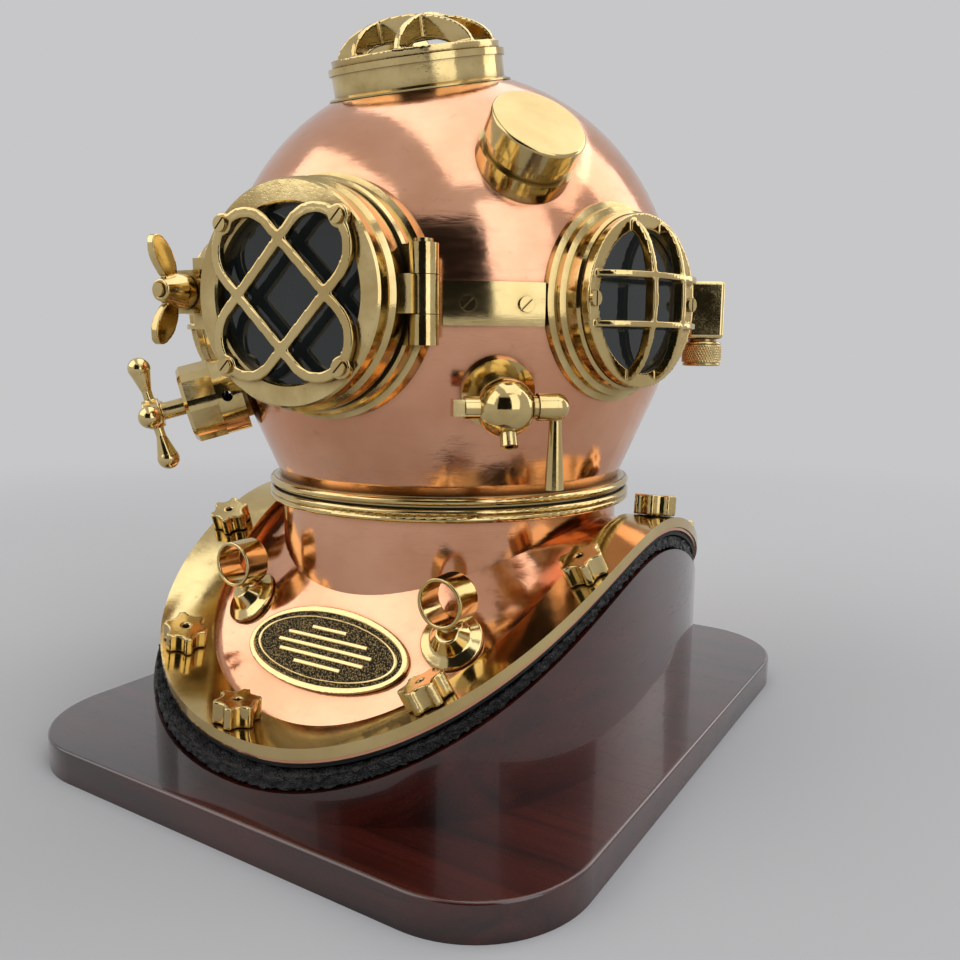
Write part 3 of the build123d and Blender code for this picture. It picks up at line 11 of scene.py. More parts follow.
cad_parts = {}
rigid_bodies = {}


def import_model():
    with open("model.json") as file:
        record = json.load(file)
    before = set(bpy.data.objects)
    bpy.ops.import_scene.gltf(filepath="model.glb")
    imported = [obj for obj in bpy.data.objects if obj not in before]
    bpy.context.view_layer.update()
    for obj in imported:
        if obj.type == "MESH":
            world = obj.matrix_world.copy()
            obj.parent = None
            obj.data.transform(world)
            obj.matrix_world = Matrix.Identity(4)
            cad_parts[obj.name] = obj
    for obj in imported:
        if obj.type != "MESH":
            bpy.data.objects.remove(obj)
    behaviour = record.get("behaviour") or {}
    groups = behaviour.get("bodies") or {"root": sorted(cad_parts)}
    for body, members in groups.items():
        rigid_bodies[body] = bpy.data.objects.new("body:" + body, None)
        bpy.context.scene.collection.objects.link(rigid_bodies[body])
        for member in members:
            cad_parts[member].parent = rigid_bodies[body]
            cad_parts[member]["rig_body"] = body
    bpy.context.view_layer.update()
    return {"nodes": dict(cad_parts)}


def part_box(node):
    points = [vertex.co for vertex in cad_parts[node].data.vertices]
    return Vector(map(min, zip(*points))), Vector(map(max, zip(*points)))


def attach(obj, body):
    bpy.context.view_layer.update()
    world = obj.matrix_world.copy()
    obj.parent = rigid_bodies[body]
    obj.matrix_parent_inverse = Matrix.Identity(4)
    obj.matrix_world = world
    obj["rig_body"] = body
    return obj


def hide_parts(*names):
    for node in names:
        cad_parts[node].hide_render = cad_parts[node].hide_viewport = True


bl_info = {
    "name": "Diving helmet",
    "version": (1, 0, 0),
    "blender": (4, 5, 0),
    "location": "View3D > Sidebar > Helmet",
    "description": "Finishes, fine pieces and stage of a diving helmet",
    "category": "Object",
}

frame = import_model()
NODES = frame["nodes"]

MM = 0.001
PICTURE_WIDTH = 960
SENSOR_WIDTH = 36.0

# Middle of the plate, the way up its slope, and its half sizes inside the rim, in metres.
PLATE_MIDDLE = (0.0, -0.1465, 0.0881)
PLATE_UPWARDS = (0.0, 0.5445, 0.8387)
PLATE_FIELD = (0.0620, 0.0235)
# Height on the plate and half length of each raised bar.
PLATE_BARS = ((0.0125, 0.015), (0.0065, 0.034), (0.0005, 0.040), (-0.0055, 0.036), (-0.0115, 0.020))
PLATE_BAR_HALF = 0.0014
# How far the raised line lies inside the field's edge, across and up, and how its flank runs out.
PLATE_LINE_INSET = (0.0045, 0.0035)
PLATE_LINE_SPAN = (0.035, 0.060)

# Each lamp's name, place, width and height in metres, share of the lamp power, and colour.
LAMPS = (
    ("key", (-1.15, -1.30, 1.45), 2.4, 1.7, 0.80, (1.0, 0.97, 0.93)),
    ("fill", (1.7, -0.7, 1.0), 1.1, 1.9, 0.40, (0.93, 0.96, 1.0)),
    ("top", (0.25, 0.35, 1.85), 2.5, 1.8, 0.80, (1.0, 1.0, 1.0)),
    ("rim", (1.1, 1.5, 1.1), 1.0, 1.9, 0.45, (1.0, 0.98, 0.95)),
)
LAMP_AIM = (0.0, 0.0, 0.24)
WORLD_LIGHT = (0.38, 0.39, 0.40)
# Reach of the floor and of the dark screen in metres, and the screen's turns in degrees and its
# heights in metres.
FLOOR_REACH = 9.0
SCREEN_REACH = 2.6
SCREEN_TURNS = (2.0, 52.0)
SCREEN_HEIGHTS = (0.05, 2.4)
SHELTER_SAMPLES = 6
# Sockets of a Mix node that are used for colours: the factor, the two colours and the result.
MIX_FACTOR, MIX_FIRST, MIX_SECOND, MIX_RESULT = 0, 6, 7, 2


class Signal:
    """A shader socket that adds up, multiplies and compares like a number."""

    def __init__(self, shader, socket):
        self.shader = shader
        self.socket = socket

    def _math(self, operation, first, second=0.0, clamp=False):
        settings = {"operation": operation, "use_clamp": clamp}
        node = self.shader.add("ShaderNodeMath", settings, {0: first, 1: second})
        return Signal(self.shader, node.outputs[0])

    def __add__(self, other):
        return self._math("ADD", self, other)

    __radd__ = __add__

    def __sub__(self, other):
        return self._math("SUBTRACT", self, other)

    def __rsub__(self, other):
        return self._math("SUBTRACT", other, self)

    def __mul__(self, other):
        return self._math("MULTIPLY", self, other)

    __rmul__ = __mul__

    def __pow__(self, other):
        return self._math("POWER", self, other)

    def larger(self, other):
        """The larger of the two values."""
        return self._math("MAXIMUM", self, other)

    def clamped(self):
        """The value held between 0 and 1."""
        return self._math("ADD", self, 0.0, clamp=True)

    def ramp(self, low, high):
        """A smooth step from 0, at low and under, to 1, at high and over."""
        sockets = {"Value": self, "From Min": low, "From Max": high}
        settings = {"interpolation_type": "SMOOTHSTEP"}
        node = self.shader.add("ShaderNodeMapRange", settings, sockets)
        return Signal(self.shader, node.outputs["Result"])


class Shader:
    """A material or a world, whose nodes are added with expressions."""

    def __init__(self, name, kind="materials"):
        self.block = getattr(bpy.data, kind).new(name)
        self.block.use_nodes = True
        self.tree = self.block.node_tree
        self.tree.nodes.clear()

    def add(self, kind, settings=None, sockets=None):
        """Adds a node, makes its settings and then joins or fills its sockets."""
        node = self.tree.nodes.new(kind)
        for key, value in (settings or {}).items():
            setattr(node, key, value)
        for key, value in (sockets or {}).items():
            if isinstance(value, Signal):
                self.tree.links.new(value.socket, node.inputs[key])
            else:
                node.inputs[key].default_value = value
        return node

    def place(self, stretch=(1.0, 1.0, 1.0), turn=(0.0, 0.0, 0.0)):
        """Object coordinates in metres, stretched and turned."""
        coordinates = Signal(self, self.add("ShaderNodeTexCoord").outputs["Object"])
        sockets = {"Vector": coordinates, "Scale": stretch, "Rotation": turn}
        return Signal(self, self.add("ShaderNodeMapping", None, sockets).outputs["Vector"])

    def noise(self, place, scale, detail=3.0, roughness=0.5, distortion=0.0):
        """Cloudy noise around 0.5."""
        sockets = {
            "Vector": place,
            "Scale": scale,
            "Detail": detail,
            "Roughness": roughness,
            "Distortion": distortion,
        }
        return Signal(self, self.add("ShaderNodeTexNoise", None, sockets).outputs["Fac"])

    def cells(self, place, scale, feature="F1", randomness=1.0):
        """Distance to the nearest of scattered points, or to the edge between their cells."""
        sockets = {"Vector": place, "Scale": scale, "Randomness": randomness}
        node = self.add("ShaderNodeTexVoronoi", {"feature": feature}, sockets)
        return Signal(self, node.outputs["Distance"])

    def attribute(self, name):
        """A number stored on the mesh."""
        return Signal(self, self.add("ShaderNodeAttribute", {"attribute_name": name}).outputs["Fac"])

    def shelter(self, reach):
        """How open the surface is within a reach: 1 in the open and 0 in a tight corner."""
        settings = {"samples": SHELTER_SAMPLES}
        node = self.add("ShaderNodeAmbientOcclusion", settings, {"Distance": reach})
        return Signal(self, node.outputs["AO"])

    def along(self, direction):
        """Distance along a direction from the object's origin, in metres."""
        sockets = {0: self.place(), 1: direction}
        node = self.add("ShaderNodeVectorMath", {"operation": "DOT_PRODUCT"}, sockets)
        return Signal(self, node.outputs["Value"])

    def ray(self, kind):
        """1 for light rays of a kind, such as camera rays."""
        return Signal(self, self.add("ShaderNodeLightPath").outputs[kind])

    def blend(self, mask, first, second):
        """A colour that goes from the first to the second with the mask."""
        node = self.add("ShaderNodeMix", {"data_type": "RGBA"})
        for key, value in ((MIX_FACTOR, mask), (MIX_FIRST, first), (MIX_SECOND, second)):
            socket = node.inputs[key]
            if isinstance(value, Signal):
                self.tree.links.new(value.socket, socket)
            elif isinstance(value, tuple):
                socket.default_value = (*value, 1.0)
            else:
                socket.default_value = value
        return Signal(self, node.outputs[MIX_RESULT])

    def bump(self, height, distance, strength):
        """A surface normal bent by a height in units of the distance, in metres."""
        sockets = {"Height": height, "Distance": distance, "Strength": strength}
        return Signal(self, self.add("ShaderNodeBump", None, sockets).outputs["Normal"])

    def surface(self, **sockets):
        """The closing surface shader, whose sockets are named in words joined by underscores."""
        named = {}
        for key, value in sockets.items():
            words = " ".join(part if part == "IOR" else part.capitalize() for part in key.split("_"))
            named[words] = (*value, 1.0) if isinstance(value, tuple) else value
        shader = Signal(self, self.add("ShaderNodeBsdfPrincipled", None, named).outputs["BSDF"])
        self.add("ShaderNodeOutputMaterial", None, {"Surface": shader})
        return self.block

    def mixed(self, share, first, second):
        """The closing mix, which goes from the first shader node to the second with the share."""
        sockets = {0: share, 1: Signal(self, first.outputs[0]), 2: Signal(self, second.outputs[0])}
        mix = self.add("ShaderNodeMixShader", None, sockets)
        self.add("ShaderNodeOutputMaterial", None, {"Surface": Signal(self, mix.outputs[0])})
        return self.block


def polished(name, bright, deep, tarnish_and_shade, tarnish_and_shade_share, shine, ripple):
    """Hand-polished metal: clouds, wipe marks, fine scratches, painted shade in the corners, which are
    also duller, and a few tarnish spots.
    """
    shader = Shader(name)
    place = shader.place()
    clouds = shader.noise(place, 11.0, 4.0, 0.55)
    smears = shader.noise(shader.place((1.0, 1.0, 3.2)), 34.0, 5.0, 0.62, 0.6)
    specks = shader.noise(place, 420.0, 2.0, 0.6)
    scratches = shader.noise(shader.place((60.0, 60.0, 1400.0), (0.5, 0.3, 0.0)), 1.0, 2.0, 0.7)
    # Painted shade: ambient occlusion darkens corners and gaps towards the tarnish colour.
    corners = 1.0 - shader.shelter(0.006).ramp(0.25, 0.95)
    spots = shader.noise(place, 95.0, 5.0, 0.7).ramp(0.60, 0.74)
    colour = shader.blend(clouds.ramp(0.32, 0.70), deep, bright)
    # This mask is painted shade in corners plus real tarnish spots and smears; it also roughens the
    # surface.
    stain_and_shade = (corners * 0.85 + spots * 0.22 + smears.ramp(0.5, 0.8) * 0.10) * tarnish_and_shade_share
    colour = shader.blend(stain_and_shade.clamped(), colour, tarnish_and_shade)
    rough = shine + smears.ramp(0.38, 0.72) * 0.06 + specks.ramp(0.5, 0.8) * 0.03
    rough = rough + stain_and_shade.clamped() * 0.26
    height = clouds * ripple + smears * (0.14 * ripple) + scratches * 0.03 + specks * 0.02
    return shader.surface(
        base_color=colour,
        metallic=1.0,
        roughness=rough.clamped(),
        normal=shader.bump(height, 0.0006, 0.55),
    )


def cast_brass(name, bright, deep, tarnish_and_shade):
    """Cast and filed brass: a slightly pitted skin with tarnish along the grain, and painted shade in
    corners and gaps, which are also rougher.
    """
    shader = Shader(name)
    place = shader.place()
    clouds = shader.noise(place, 26.0, 4.0, 0.6)
    pits = shader.cells(place, 620.0).ramp(0.05, 0.40)
    grain = shader.noise(place, 260.0, 4.0, 0.7)
    # Painted shade: ambient occlusion darkens corners and gaps towards the tarnish colour.
    corners = 1.0 - shader.shelter(0.007).ramp(0.30, 0.96)
    # This mask is painted shade in corners plus real tarnish along the grain; it also roughens the
    # surface.
    stain_and_shade = (corners * 0.9 + grain.ramp(0.55, 0.78) * 0.18).clamped()
    colour = shader.blend(clouds.ramp(0.35, 0.68), deep, bright)
    colour = shader.blend(stain_and_shade, colour, tarnish_and_shade)
    rough = 0.08 + clouds.ramp(0.4, 0.7) * 0.05 + grain.ramp(0.45, 0.75) * 0.04 + stain_and_shade * 0.3
    height = clouds + pits * 0.05 + grain * 0.09
    return shader.surface(
        base_color=colour,
        metallic=1.0,
        roughness=rough.clamped(),
        normal=shader.bump(height, 0.0005, 0.5),
    )


def varnished_wood(name, along, dark, red):
    """Mahogany under a thick varnish: long fibres, short pores and a slow change of tone."""
    shader = Shader(name)
    stretch = {"X": (1.6, 26.0, 26.0), "Y": (26.0, 1.6, 26.0)}[along]
    fine = {"X": (14.0, 620.0, 620.0), "Y": (620.0, 14.0, 620.0)}[along]
    bands = shader.noise(shader.place(stretch), 1.0, 6.0, 0.62, 1.3)
    fibres = shader.noise(shader.place(fine), 1.0, 3.0, 0.6)
    pores = fibres.ramp(0.58, 0.72)
    patches = shader.noise(shader.place(), 7.0, 3.0, 0.5)
    colour = shader.blend((bands * 0.75 + patches * 0.35).ramp(0.38, 0.72), dark, red)
    colour = shader.blend(pores * 0.45, colour, (0.006, 0.002, 0.0015))
    wear = shader.noise(shader.place(), 42.0, 5.0, 0.65)
    return shader.surface(
        base_color=colour,
        roughness=(0.22 + pores * 0.12 + wear.ramp(0.45, 0.8) * 0.08).clamped(),
        normal=shader.bump(pores * -0.15 + bands * 0.08 + patches * 0.5, 0.0004, 0.35),
        coat_weight=(0.95 - wear.ramp(0.55, 0.85) * 0.2).clamped(),
        coat_roughness=0.05,
        coat_IOR=1.5,
    )


def crinkled_black(name):
    """Black coated leather: fine creases over the folds with painted shade in them, glossy where the
    coat is stretched.
    """
    shader = Shader(name)
    place = shader.place()
    creases = shader.cells(place, 640.0, "DISTANCE_TO_EDGE").ramp(0.0, 0.30)
    warped = shader.noise(place, 260.0, 4.0, 0.65, 1.2)
    grain = shader.noise(place, 1500.0, 3.0, 0.6)
    fold = shader.attribute("fold")
    # Painted shade: the tone is darker along the creases and the sunk fold lines; the warped noise and
    # grain are random tone.
    tone = creases * 0.35 + warped * 0.35 + grain * 0.2 + fold * 0.2
    return shader.surface(
        base_color=shader.blend(tone.ramp(0.3, 0.95), (0.004, 0.004, 0.0045), (0.020, 0.020, 0.022)),
        roughness=(0.38 - warped.ramp(0.4, 0.7) * 0.16 - fold * 0.08 + grain * 0.06).clamped(),
        normal=shader.bump(creases * 0.5 + warped * 1.6 + grain * 0.08, 0.0012, 0.9),
    )


def matt_rubber(name):
    """Black rubber jointing with a chalky bloom and moulding grain."""
    shader = Shader(name)
    place = shader.place()
    bloom = shader.noise(place, 70.0, 4.0, 0.6)
    grain = shader.noise(place, 1200.0, 2.0, 0.6)
    return shader.surface(
        base_color=shader.blend(bloom.ramp(0.45, 0.75), (0.010, 0.010, 0.011), (0.035, 0.034, 0.033)),
        roughness=(0.62 + bloom * 0.2).clamped(),
        normal=shader.bump(grain * 0.4 + bloom * 0.4, 0.0004, 0.6),
    )


def thick_glass(name):
    """Thick dark window glass with finger smears and a little dust."""
    shader = Shader(name)
    place = shader.place()
    smears = shader.noise(place, 38.0, 5.0, 0.65, 0.8)
    dust = shader.noise(place, 700.0, 2.0, 0.7).ramp(0.66, 0.80)
    return shader.surface(
        base_color=shader.blend(dust * 0.5, (0.020, 0.026, 0.027), (0.085, 0.082, 0.072)),
        roughness=(0.02 + smears.ramp(0.45, 0.75) * 0.09 + dust * 0.35).clamped(),
        normal=shader.bump(smears, 0.0002, 0.25),
        specular_IOR_level=0.6,
    )


def plate_metal(name, bright, deep):
    """A plain oval plate: bright rim, line and bars that stand proud of a dark stippled field."""
    shader = Shader(name)
    place = shader.place()
    raised = shader.attribute("raised").ramp(0.35, 0.80)
    stipple = shader.cells(place, 980.0).ramp(0.12, 0.60)
    grime = shader.noise(place, 170.0, 5.0, 0.7)
    dull = shader.blend((stipple * 0.8 + grime * 0.5).ramp(0.30, 1.0), deep, (0.016, 0.013, 0.008))
    worn = shader.blend(grime.ramp(0.5, 0.8) * 0.5, bright, deep)
    relief = (1.0 - stipple) * (1.0 - raised) * 0.6 + grime * 0.1
    return shader.surface(
        base_color=shader.blend(raised, dull, worn),
        metallic=(0.85 + raised * 0.15).clamped(),
        roughness=(0.40 + grime * 0.15 - raised * 0.26).clamped(),
        normal=shader.bump(relief, 0.0005, 0.9),
    )


def spring_wire(name):
    """Drawn steel wire with a film of grease."""
    shader = Shader(name)
    place = shader.place()
    film = shader.noise(place, 140.0, 4.0, 0.6)
    return shader.surface(
        base_color=shader.blend(film.ramp(0.45, 0.7), (0.45, 0.45, 0.46), (0.22, 0.20, 0.17)),
        metallic=1.0,
        roughness=(0.25 + film * 0.25).clamped(),
        normal=shader.bump(film, 0.0002, 0.4),
    )


def speaker_cloth(name):
    """Black plastic front of the receiver, pressed in small round dimples with painted shade in each.
    """
    shader = Shader(name)
    place = shader.place()
    dimples = shader.cells(place, 380.0, "F1", 0.15).ramp(0.18, 0.42)
    grain = shader.noise(place, 900.0, 2.0, 0.6)
    # Painted shade: the colour is darkest in the middle of each dimple.
    return shader.surface(
        base_color=shader.blend(dimples, (0.004, 0.004, 0.004), (0.028, 0.027, 0.026)),
        roughness=(0.5 + grain * 0.25).clamped(),
        normal=shader.bump(dimples + grain * 0.1, 0.0008, 0.8),
    )


def grid_mesh(name, points, wrap_u=False, wrap_v=False):
    """A mesh from a grid of points whose faces join neighbours and may wrap round either way."""
    rows, columns = points.shape[:2]
    index = np.arange(rows * columns).reshape(rows, columns)
    if wrap_u:
        index = np.vstack([index, index[:1]])
    if wrap_v:
        index = np.hstack([index, index[:, :1]])
    corners = (index[:-1, :-1], index[:-1, 1:], index[1:, 1:], index[1:, :-1])
    quads = np.stack(corners, axis=-1).reshape(-1, 4)
    mesh = bpy.data.meshes.new(name)
    mesh.from_pydata(points.reshape(-1, 3).tolist(), [], quads.tolist())
    work = bmesh.new()
    work.from_mesh(mesh)
    bmesh.ops.remove_doubles(work, verts=work.verts, dist=1e-6)
    bmesh.ops.recalc_face_normals(work, faces=work.faces)
    work.to_mesh(mesh)
    work.free()
    mesh.polygons.foreach_set("use_smooth", np.ones(len(mesh.polygons), dtype=bool))
    piece = bpy.data.objects.new(name, mesh)
    bpy.context.scene.collection.objects.link(piece)
    return piece


def knurled_cap(name, node, depth, teeth, pitch):
    """A union cap turned from bar, with a diamond knurl.

    Point v of the cap's profile, at reach r and height h, stands at turn u at the reach
    r - depth * b(v) * (1 - min(1, 2.2 * min(p, q))). Here p and q are 0 to 1 zigzags of
    teeth * u / (2 * pi) + h / pitch and teeth * u / (2 * pi) - h / pitch, and b(v) is 1 along
    the knurled belt and fades to nothing at its ends.
    """
    low, high = (np.array(corner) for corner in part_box(node))
    centre = (low + high) / 2
    outer = (high[0] - low[0]) / 2
    bore = outer * 0.60
    rise = high[2] - low[2]
    lip = 0.10 * rise
    profile = np.array(
        [
            [bore, 0.0],
            [outer - 1.2 * lip, 0.0],
            [outer - 0.5 * lip, 0.15 * lip],
            [outer - 0.3 * lip, 0.6 * lip],
            [outer - 0.3 * lip, 1.1 * lip],
            [outer - 1.0 * lip, 1.3 * lip],
        ]
    )
    rows = 41
    belt = np.stack([np.full(rows, outer), np.linspace(1.6 * lip, rise - 1.6 * lip, rows)], axis=1)
    upper = profile[::-1] * [1.0, -1.0] + [0.0, rise]
    inner = np.array([[bore, rise * 0.8], [bore, rise * 0.2]])
    track = np.vstack([profile, belt, upper, inner])
    on_belt = np.zeros(len(track))
    first = len(profile)
    on_belt[first : first + rows] = np.sin(np.linspace(0.0, math.pi, rows)) ** 0.35
    turns = np.linspace(0.0, 2.0 * math.pi, teeth * 8, endpoint=False)
    u, v = np.meshgrid(turns, np.arange(len(track)), indexing="ij")
    height = track[v, 1]
    tooth = teeth * u / (2 * math.pi)
    left = 1.0 - np.abs(((tooth + height / pitch) % 1.0) * 2.0 - 1.0)
    right = 1.0 - np.abs(((tooth - height / pitch) % 1.0) * 2.0 - 1.0)
    crest = np.minimum(left, right)
    reach = track[v, 0] - depth * on_belt[v] * (1.0 - np.clip(crest * 2.2, 0.0, 1.0))
    places = (centre[0] + reach * np.cos(u), centre[1] + reach * np.sin(u), low[2] + height)
    points = np.stack(places, axis=-1)
    return grid_mesh(name, points, wrap_u=True, wrap_v=True)


def cell_edges(points, size, seed):
    """How near each point lies to a border between cells, 0 on it and 1 well inside a cell.

    A random centre lies in every cube of the given size. With a and b the distances to the
    nearest two centres, the value is (b - a) / (0.45 * size), held under 1.
    """
    places = points / size
    home = np.floor(places).astype(np.int64)
    low = home.min(axis=0) - 1
    span = home.max(axis=0) - low + 2
    centres = np.random.default_rng(seed).random((*span, 3))
    steps = np.stack(np.meshgrid(*[(-1, 0, 1)] * 3, indexing="ij"), axis=-1).reshape(-1, 3)
    near = home[:, None, :] + steps[None, :, :]
    index = near - low
    offset = near + centres[index[..., 0], index[..., 1], index[..., 2]] - places[:, None, :]
    reach = np.sort(np.sqrt((offset**2).sum(axis=2)), axis=1)
    return np.clip((reach[:, 1] - reach[:, 0]) / 0.45, 0.0, 1.0)


def fine_copy(node, name, voxel):
    """A CAD piece as an object of its own, with an even mesh of small faces, on the same body."""
    source = NODES[node]
    mesh = source.data.copy()
    work = bmesh.new()
    work.from_mesh(mesh)
    bmesh.ops.remove_doubles(work, verts=work.verts, dist=1e-6)
    work.to_mesh(mesh)
    work.free()
    piece = bpy.data.objects.new(name, mesh)
    bpy.context.scene.collection.objects.link(piece)
    remesh = piece.modifiers.new("remesh", "REMESH")
    remesh.mode = "VOXEL"
    remesh.voxel_size = voxel
    graph = bpy.context.evaluated_depsgraph_get()
    even = bpy.data.meshes.new_from_object(piece.evaluated_get(graph))
    piece.modifiers.clear()
    piece.data = even
    piece.data.materials.clear()
    even.polygons.foreach_set("use_smooth", np.ones(len(even.polygons), dtype=bool))
    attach(piece, source["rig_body"])
    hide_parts(node)
    return piece


def vertex_rows(mesh, key):
    """Places ("co") or normals of a mesh's vertices, one row each."""
    rows = np.empty(len(mesh.vertices) * 3)
    mesh.vertices.foreach_get(key, rows)
    return rows.reshape(-1, 3)


def store(mesh, points, key=None, values=None):
    """Puts new places into a mesh, and one number per vertex under a name."""
    mesh.vertices.foreach_set("co", points.reshape(-1))
    if key is not None:
        layer = mesh.attributes.new(key, "FLOAT", "POINT")
        layer.data.foreach_set("value", values.astype(np.float32))
    mesh.update()


def eased(node, voxel, rounds):
    """A cast piece whose edges are eased.

    In each round every vertex moves half way to the mean of its neighbours, and then 0.53 of
    the way back from their new mean, so that thin bars keep their girth.
    """
    piece = fine_copy(node, node + "_eased", voxel)
    mesh = piece.data
    edges = np.empty(len(mesh.edges) * 2, dtype=np.int32)
    mesh.edges.foreach_get("vertices", edges)
    first, second = edges.reshape(-1, 2).T
    count = len(mesh.vertices)
    shares = np.bincount(first, minlength=count) + np.bincount(second, minlength=count)
    points = vertex_rows(mesh, "co")
    for step in (0.5, -0.53) * rounds:
        sums = [
            np.bincount(first, points[second, axis], count)
            + np.bincount(second, points[first, axis], count)
            for axis in range(3)
        ]
        points = points + step * (np.stack(sums, axis=1) / shares[:, None] - points)
    store(mesh, points)
    return piece


def creased(piece, voxel, depth, cell):
    """Sinks creases into a pad.

    A vertex moves inwards along its normal by 0.4 * voxel + depth * (1 - e)^2. Here e is 0.6 of
    its cell_edges for cells about twice as wide as tall, plus 0.4 of its cell_edges for even
    cells of 0.6 of the size.
    """
    points = vertex_rows(piece.data, "co")
    normals = vertex_rows(piece.data, "normal")
    broad = cell_edges(points * [0.6, 0.6, 1.3], cell, seed=7)
    edges = 0.6 * broad + 0.4 * cell_edges(points, cell * 0.6, seed=8)
    sink = 0.4 * voxel + depth * (1.0 - edges) ** 2
    store(piece.data, points - normals * sink[:, None], "fold", edges)


def oval(across, upwards, half_width, half_height):
    """Below 1 inside an oval, 1 on it and above 1 outside: the sum of the two squared shares."""
    return (across / half_width) ** 2 + (upwards / half_height) ** 2


def step_down(values, low, high):
    """A smooth step: 1 up to low, 0 from high on, and 1 - 3 t^2 + 2 t^3 for the share t between."""
    share = np.clip((values - low) / (high - low), 0.0, 1.0)
    return 1.0 - share**2 * (3.0 - 2.0 * share)


def plate_relief(piece, height):
    """Raises a plate's line and bars out of its field.

    With x and y a vertex's place across and up the plate, a bar covers |x| < its half length and
    |y - its level| < its half width. The line covers |oval(x, y) - 1| < the span's first value
    and ends by its second, where the oval's half sizes are the field's less the line's inset.
    The outward face rises by the height there, and the rim, which is all that lies outside the
    field's oval, is marked raised.
    """
    points = vertex_rows(piece.data, "co")
    normals = vertex_rows(piece.data, "normal")
    offset = points - PLATE_MIDDLE
    across = np.abs(offset[:, 0])
    upwards = offset @ np.array(PLATE_UPWARDS)
    outwards = np.cross([1.0, 0.0, 0.0], PLATE_UPWARDS)
    width, tall = PLATE_FIELD
    edge = np.full(len(points), 1.0)
    for level, half_length in PLATE_BARS:
        beyond = np.maximum(across - half_length, np.abs(upwards - level) - PLATE_BAR_HALF)
        edge = np.minimum(edge, beyond)
    bars = step_down(edge, -0.0004, 0.0003)
    inset = oval(across, upwards, width - PLATE_LINE_INSET[0], tall - PLATE_LINE_INSET[1])
    line = step_down(np.abs(inset - 1.0), *PLATE_LINE_SPAN)
    face = normals @ outwards > 0.6
    proud = np.maximum(bars, line) * face
    rim = 1.0 - step_down(oval(across, upwards, width, tall), 0.97, 1.03)
    store(piece.data, points + proud[:, None] * height * outwards, "raised", np.maximum(proud, rim))


def colour_value(name, description, default):
    """A colour property."""
    return bpy.props.FloatVectorProperty(
        name=name, description=description, default=default, subtype="COLOR", min=0.0, max=1.0
    )


def angle_value(name, description, degrees):
    """An angle property."""
    return bpy.props.FloatProperty(
        name=name, description=description, default=math.radians(degrees), subtype="ANGLE"
    )


def length_value(name, description, metres):
    """A length property."""
    return bpy.props.FloatProperty(
        name=name, description=description, default=metres, unit="LENGTH"
    )


class HelmetFinish(bpy.types.PropertyGroup):
    """Colours and wear of the helmet."""

    copper: colour_value("Copper", "Polished copper of the bonnet and breastplate", (0.86, 0.46, 0.285))
    copper_deep: colour_value("Deep copper", "Copper where the polish is older", (0.71, 0.335, 0.19))
    brass: colour_value("Brass", "Polished brass of rings and valves", (0.74, 0.575, 0.275))
    brass_deep: colour_value("Deep brass", "Brass where the polish is older", (0.55, 0.40, 0.165))
    # This colour tints the tarnish and also the painted shade in corners and gaps.
    tarnish_and_shade: colour_value("Tarnish", "Brown film in corners", (0.11, 0.055, 0.022))
    wood_dark: colour_value("Dark wood", "Darkest bands of the mahogany", (0.012, 0.0026, 0.0020))
    wood_red: colour_value("Red wood", "Reddest bands of the mahogany", (0.072, 0.011, 0.0065))
    # This share sets the strength of the tarnish and also of the painted shade in corners.
    tarnish_and_shade_share: bpy.props.FloatProperty(
        name="Tarnish",
        description="How much tarnish shows",
        default=0.8,
        min=0.0,
        max=1.0,
        subtype="FACTOR",
    )


class HelmetStage(bpy.types.PropertyGroup):
    """Camera, lamps and floor."""

    floor: colour_value("Floor", "Colour of floor and backdrop", (0.57, 0.57, 0.58))
    key_power: bpy.props.FloatProperty(
        name="Lamp power",
        description="Power that each lamp's share is multiplied by",
        default=20.0,
        min=0.0,
        unit="POWER",
    )
    azimuth: angle_value("Azimuth", "Camera's turn to the right of the front", 31.98)
    elevation: angle_value("Elevation", "Camera's height above level", 8.36)
    roll: angle_value("Roll", "Camera's turn about its own view", 0.43)
    distance: length_value("Distance", "From the camera to its target", 0.6777)
    aim_side: length_value("Aim to the side", "Target's place across the view", 0.0231)
    aim_height: length_value("Aim height", "Target's height", 0.1825)
    lens: bpy.props.FloatProperty(
        name="Focal length", description="In pixels of the picture", default=869.8, min=100.0
    )


def finish():
    """The colours that the panel shows."""
    return bpy.context.scene.helmet_finish


def as_tuple(colour):
    """A colour property as plain numbers."""
    return tuple(float(part) for part in colour)


def wear(nodes, material):
    """Gives CAD nodes one finish."""
    for node in nodes:
        mesh = NODES[node].data
        mesh.materials.clear()
        mesh.materials.append(material)


COPPER_NODES = ("dome_shell", "breastplate_shell", "breastplate_collar")
CAST_NODES = (
    "left_window_frame",
    "right_window_frame",
    "top_window_frame",
    "front_window_frame",
    "door_ring",
    "exhaust_body",
    "spitcock_body",
    "receiver_cup",
    "air_elbow",
    "phone_elbow",
)
POLISHED_NODES = (
    "brail_front_left",
    "brail_front_right",
    "brail_rear_left",
    "brail_rear_right",
    "flange_studs",
    "lower_neck_ring",
    "upper_neck_ring",
    "hinge_pin",
    "strap_plate",
    "bonnet_screws",
    "exhaust_cover",
    "exhaust_disc",
    "receiver_cap",
    "door_retaining_ring",
    "door_guard_screws",
    "clamp_bolt",
    "spitcock_plug",
    "spitcock_lever",
    "non_return_valve",
)
# Cast pieces whose edges are eased, with the mesh's face size in millimetres and the rounds.
EASED_NODES = (
    ("door_guard", 0.75, 9),
    ("left_window_guard", 0.75, 7),
    ("right_window_guard", 0.75, 7),
    ("top_window_guard", 0.8, 7),
    ("exhaust_handle", 0.6, 8),
    ("wing_nut", 0.6, 10),
    ("flange_nuts", 0.9, 4),
    ("lashing_eye_left", 0.7, 8),
    ("lashing_eye_right", 0.7, 8),
)
GLASS_NODES = ("door_glass", "left_window_glass", "right_window_glass", "top_window_glass")
RUBBER_NODES = ("flange_gasket", "neck_gasket", "door_gasket")


